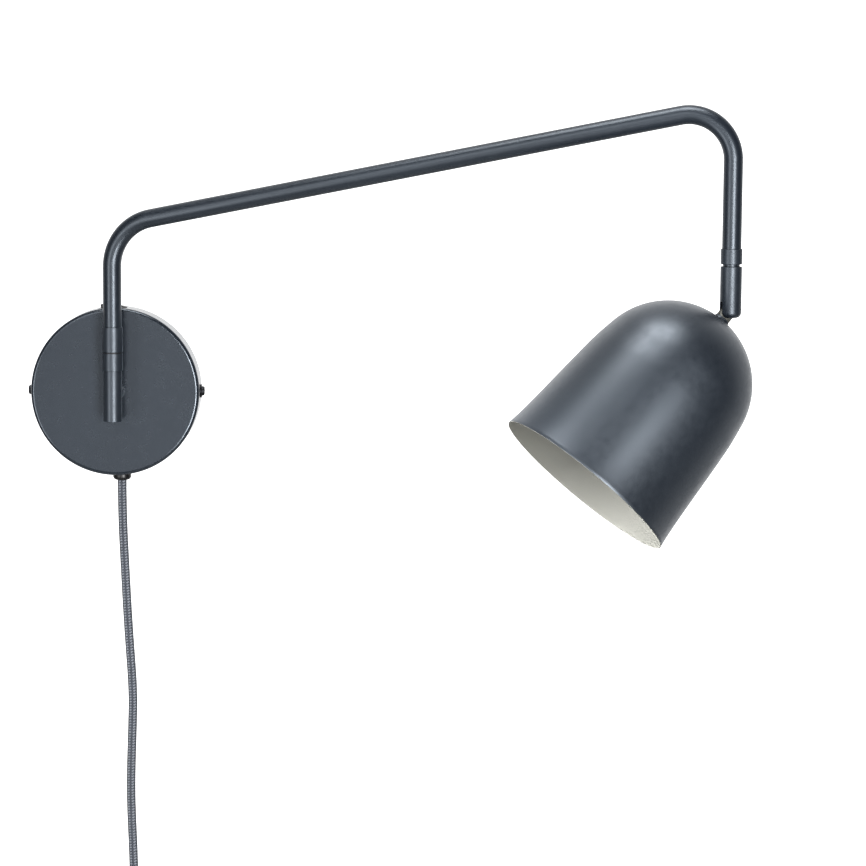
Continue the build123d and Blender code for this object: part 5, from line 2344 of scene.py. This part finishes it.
@dataclass
class Studio:
    """The camera at the photograph's place, the soft lamps and the pale sweep.

    The room is dim in front of the lamp and grows bright behind it, and the camera itself
    sees it white.
    """

    camera_place: Triple = (0.2267, -2.0572, 0.2092)
    camera_pitch: float = 6.644
    camera_roll: float = 0.466
    lens: float = 119.3
    target: Triple = (0.2, -0.1, 0.03)
    floor_size: float = 7.0
    floor_place: Triple = (0.2, 0.2, -2.2)
    back_size: float = 6.4
    back_place: Triple = (0.2, 4.0, 0.4)
    back_glow: float = 1.5
    room_dim: float = 0.05
    room_bright: float = 1.1
    room_turn: float = 0.5
    boxes: tuple[Softbox, ...] = (
        Softbox("top_box", -18.0, 79.0, 1.7, 1.1, 0.9, 8.5),
        Softbox("upper_left_box", -24.0, 24.0, 2.0, 1.2, 1.0, 3.0),
        Softbox("left_box", -42.0, -10.0, 2.2, 0.7, 1.2, 7.0),
        Softbox("front_box", -13.0, -8.0, 1.9, 0.6, 1.0, 1.05),
        Softbox("right_box", 18.5, -8.0, 1.9, 0.6, 1.3, 20.5),
    )
    snoot: Snoot = Snoot(
        "mouth_snoot", (-1.2, -0.5, -0.02), (0.38, -0.147, -0.088), 0.08, 4.4, 740.0
    )

    def set_camera(self) -> None:
        """Stand the camera where the photograph was taken from."""
        pitch, roll = math.radians(self.camera_pitch), math.radians(self.camera_roll)
        ahead = Vector((0.0, math.cos(pitch), -math.sin(pitch)))
        up = Vector((0.0, math.sin(pitch), math.cos(pitch)))
        right = RIGHT * math.cos(roll) + up * math.sin(roll)
        above = up * math.cos(roll) - RIGHT * math.sin(roll)
        turned = Matrix((right, above, -ahead)).transposed().to_4x4()
        lens = bpy.data.cameras.new("photo_camera")
        lens.lens = self.lens
        lens.sensor_width = 36.0
        lens.clip_end = 50.0
        camera = bpy.data.objects.new("photo_camera", lens)
        bpy.context.collection.objects.link(camera)
        camera.matrix_world = Matrix.Translation(self.camera_place) @ turned
        bpy.context.scene.camera = camera

    def light(self) -> None:
        """Hang the lamps and set the surroundings."""
        for box in self.boxes:
            box.hang(Vector(self.target))
        self.snoot.hang()
        world = bpy.data.worlds.new("studio_world")
        bpy.context.scene.world = world
        board = Nodes(world)
        rise = board.feed(
            board.add("MapRange"), From_Min=0.0, From_Max=self.room_turn,
            To_Min=self.room_dim, To_Max=self.room_bright,
        )
        seen = board.feed(board.add("Background"), Color=(1.0, 1.0, 1.0, 1.0))
        room = board.add("Background")
        apart = board.add("SeparateXYZ")
        mix = board.add("MixShader")
        board.join(board.add("TexCoord"), "Generated", apart, 0)
        board.join(apart, "Y", rise, "Value")
        board.join(rise, "Result", room, "Strength")
        board.join(board.add("LightPath"), "Is Camera Ray", mix, 0)
        board.join(room, 0, mix, 1)
        board.join(seen, 0, mix, 2)
        board.join(mix, 0, board.add("OutputWorld"), "Surface")
        bpy.context.scene.view_settings.view_transform = "Standard"
        bpy.context.scene.view_settings.look = "Medium High Contrast"

    def lay_sweep(self) -> None:
        """Lay the pale floor, and stand the white backdrop behind it."""
        Bench.clear()
        bpy.ops.mesh.primitive_plane_add(size=self.floor_size, location=self.floor_place)
        floor = Bench.fresh("studio_floor")
        pale = Moulded("studio_floor", (0.55, 0.55, 0.54), roughness=0.7, grain=30.0, tone=0.01)
        floor.data.materials.append(pale.make())
        Bench.clear()
        bpy.ops.mesh.primitive_plane_add(
            size=self.back_size, location=self.back_place, rotation=(HALF_TURN / 2, 0.0, 0.0)
        )
        backdrop = Bench.fresh("studio_backdrop")
        board = NodeTree("studio_backdrop")
        board.feed(
            board.shader, Base_Color=(0.0, 0.0, 0.0, 1.0), Roughness=1.0,
            Emission_Color=(1.0, 1.0, 1.0, 1.0), Emission_Strength=self.back_glow,
        )
        backdrop.data.materials.append(board.material)


def main() -> None:
    """Build the studio, then the lamp from the wall out to the shade."""
    logging.basicConfig(level=logging.INFO, format="%(name)s: %(message)s")
    studio = Studio()
    studio.set_camera()
    palette = Palette()
    palette.mix()
    for part in (MainsLead, Canopy, Pivot, RockerSwitch, Arm, Knuckle, Stem, Shade, LampHolder):
        part(palette).build()
    studio.light()
    studio.lay_sweep()


if __name__ == "__main__":
    main()
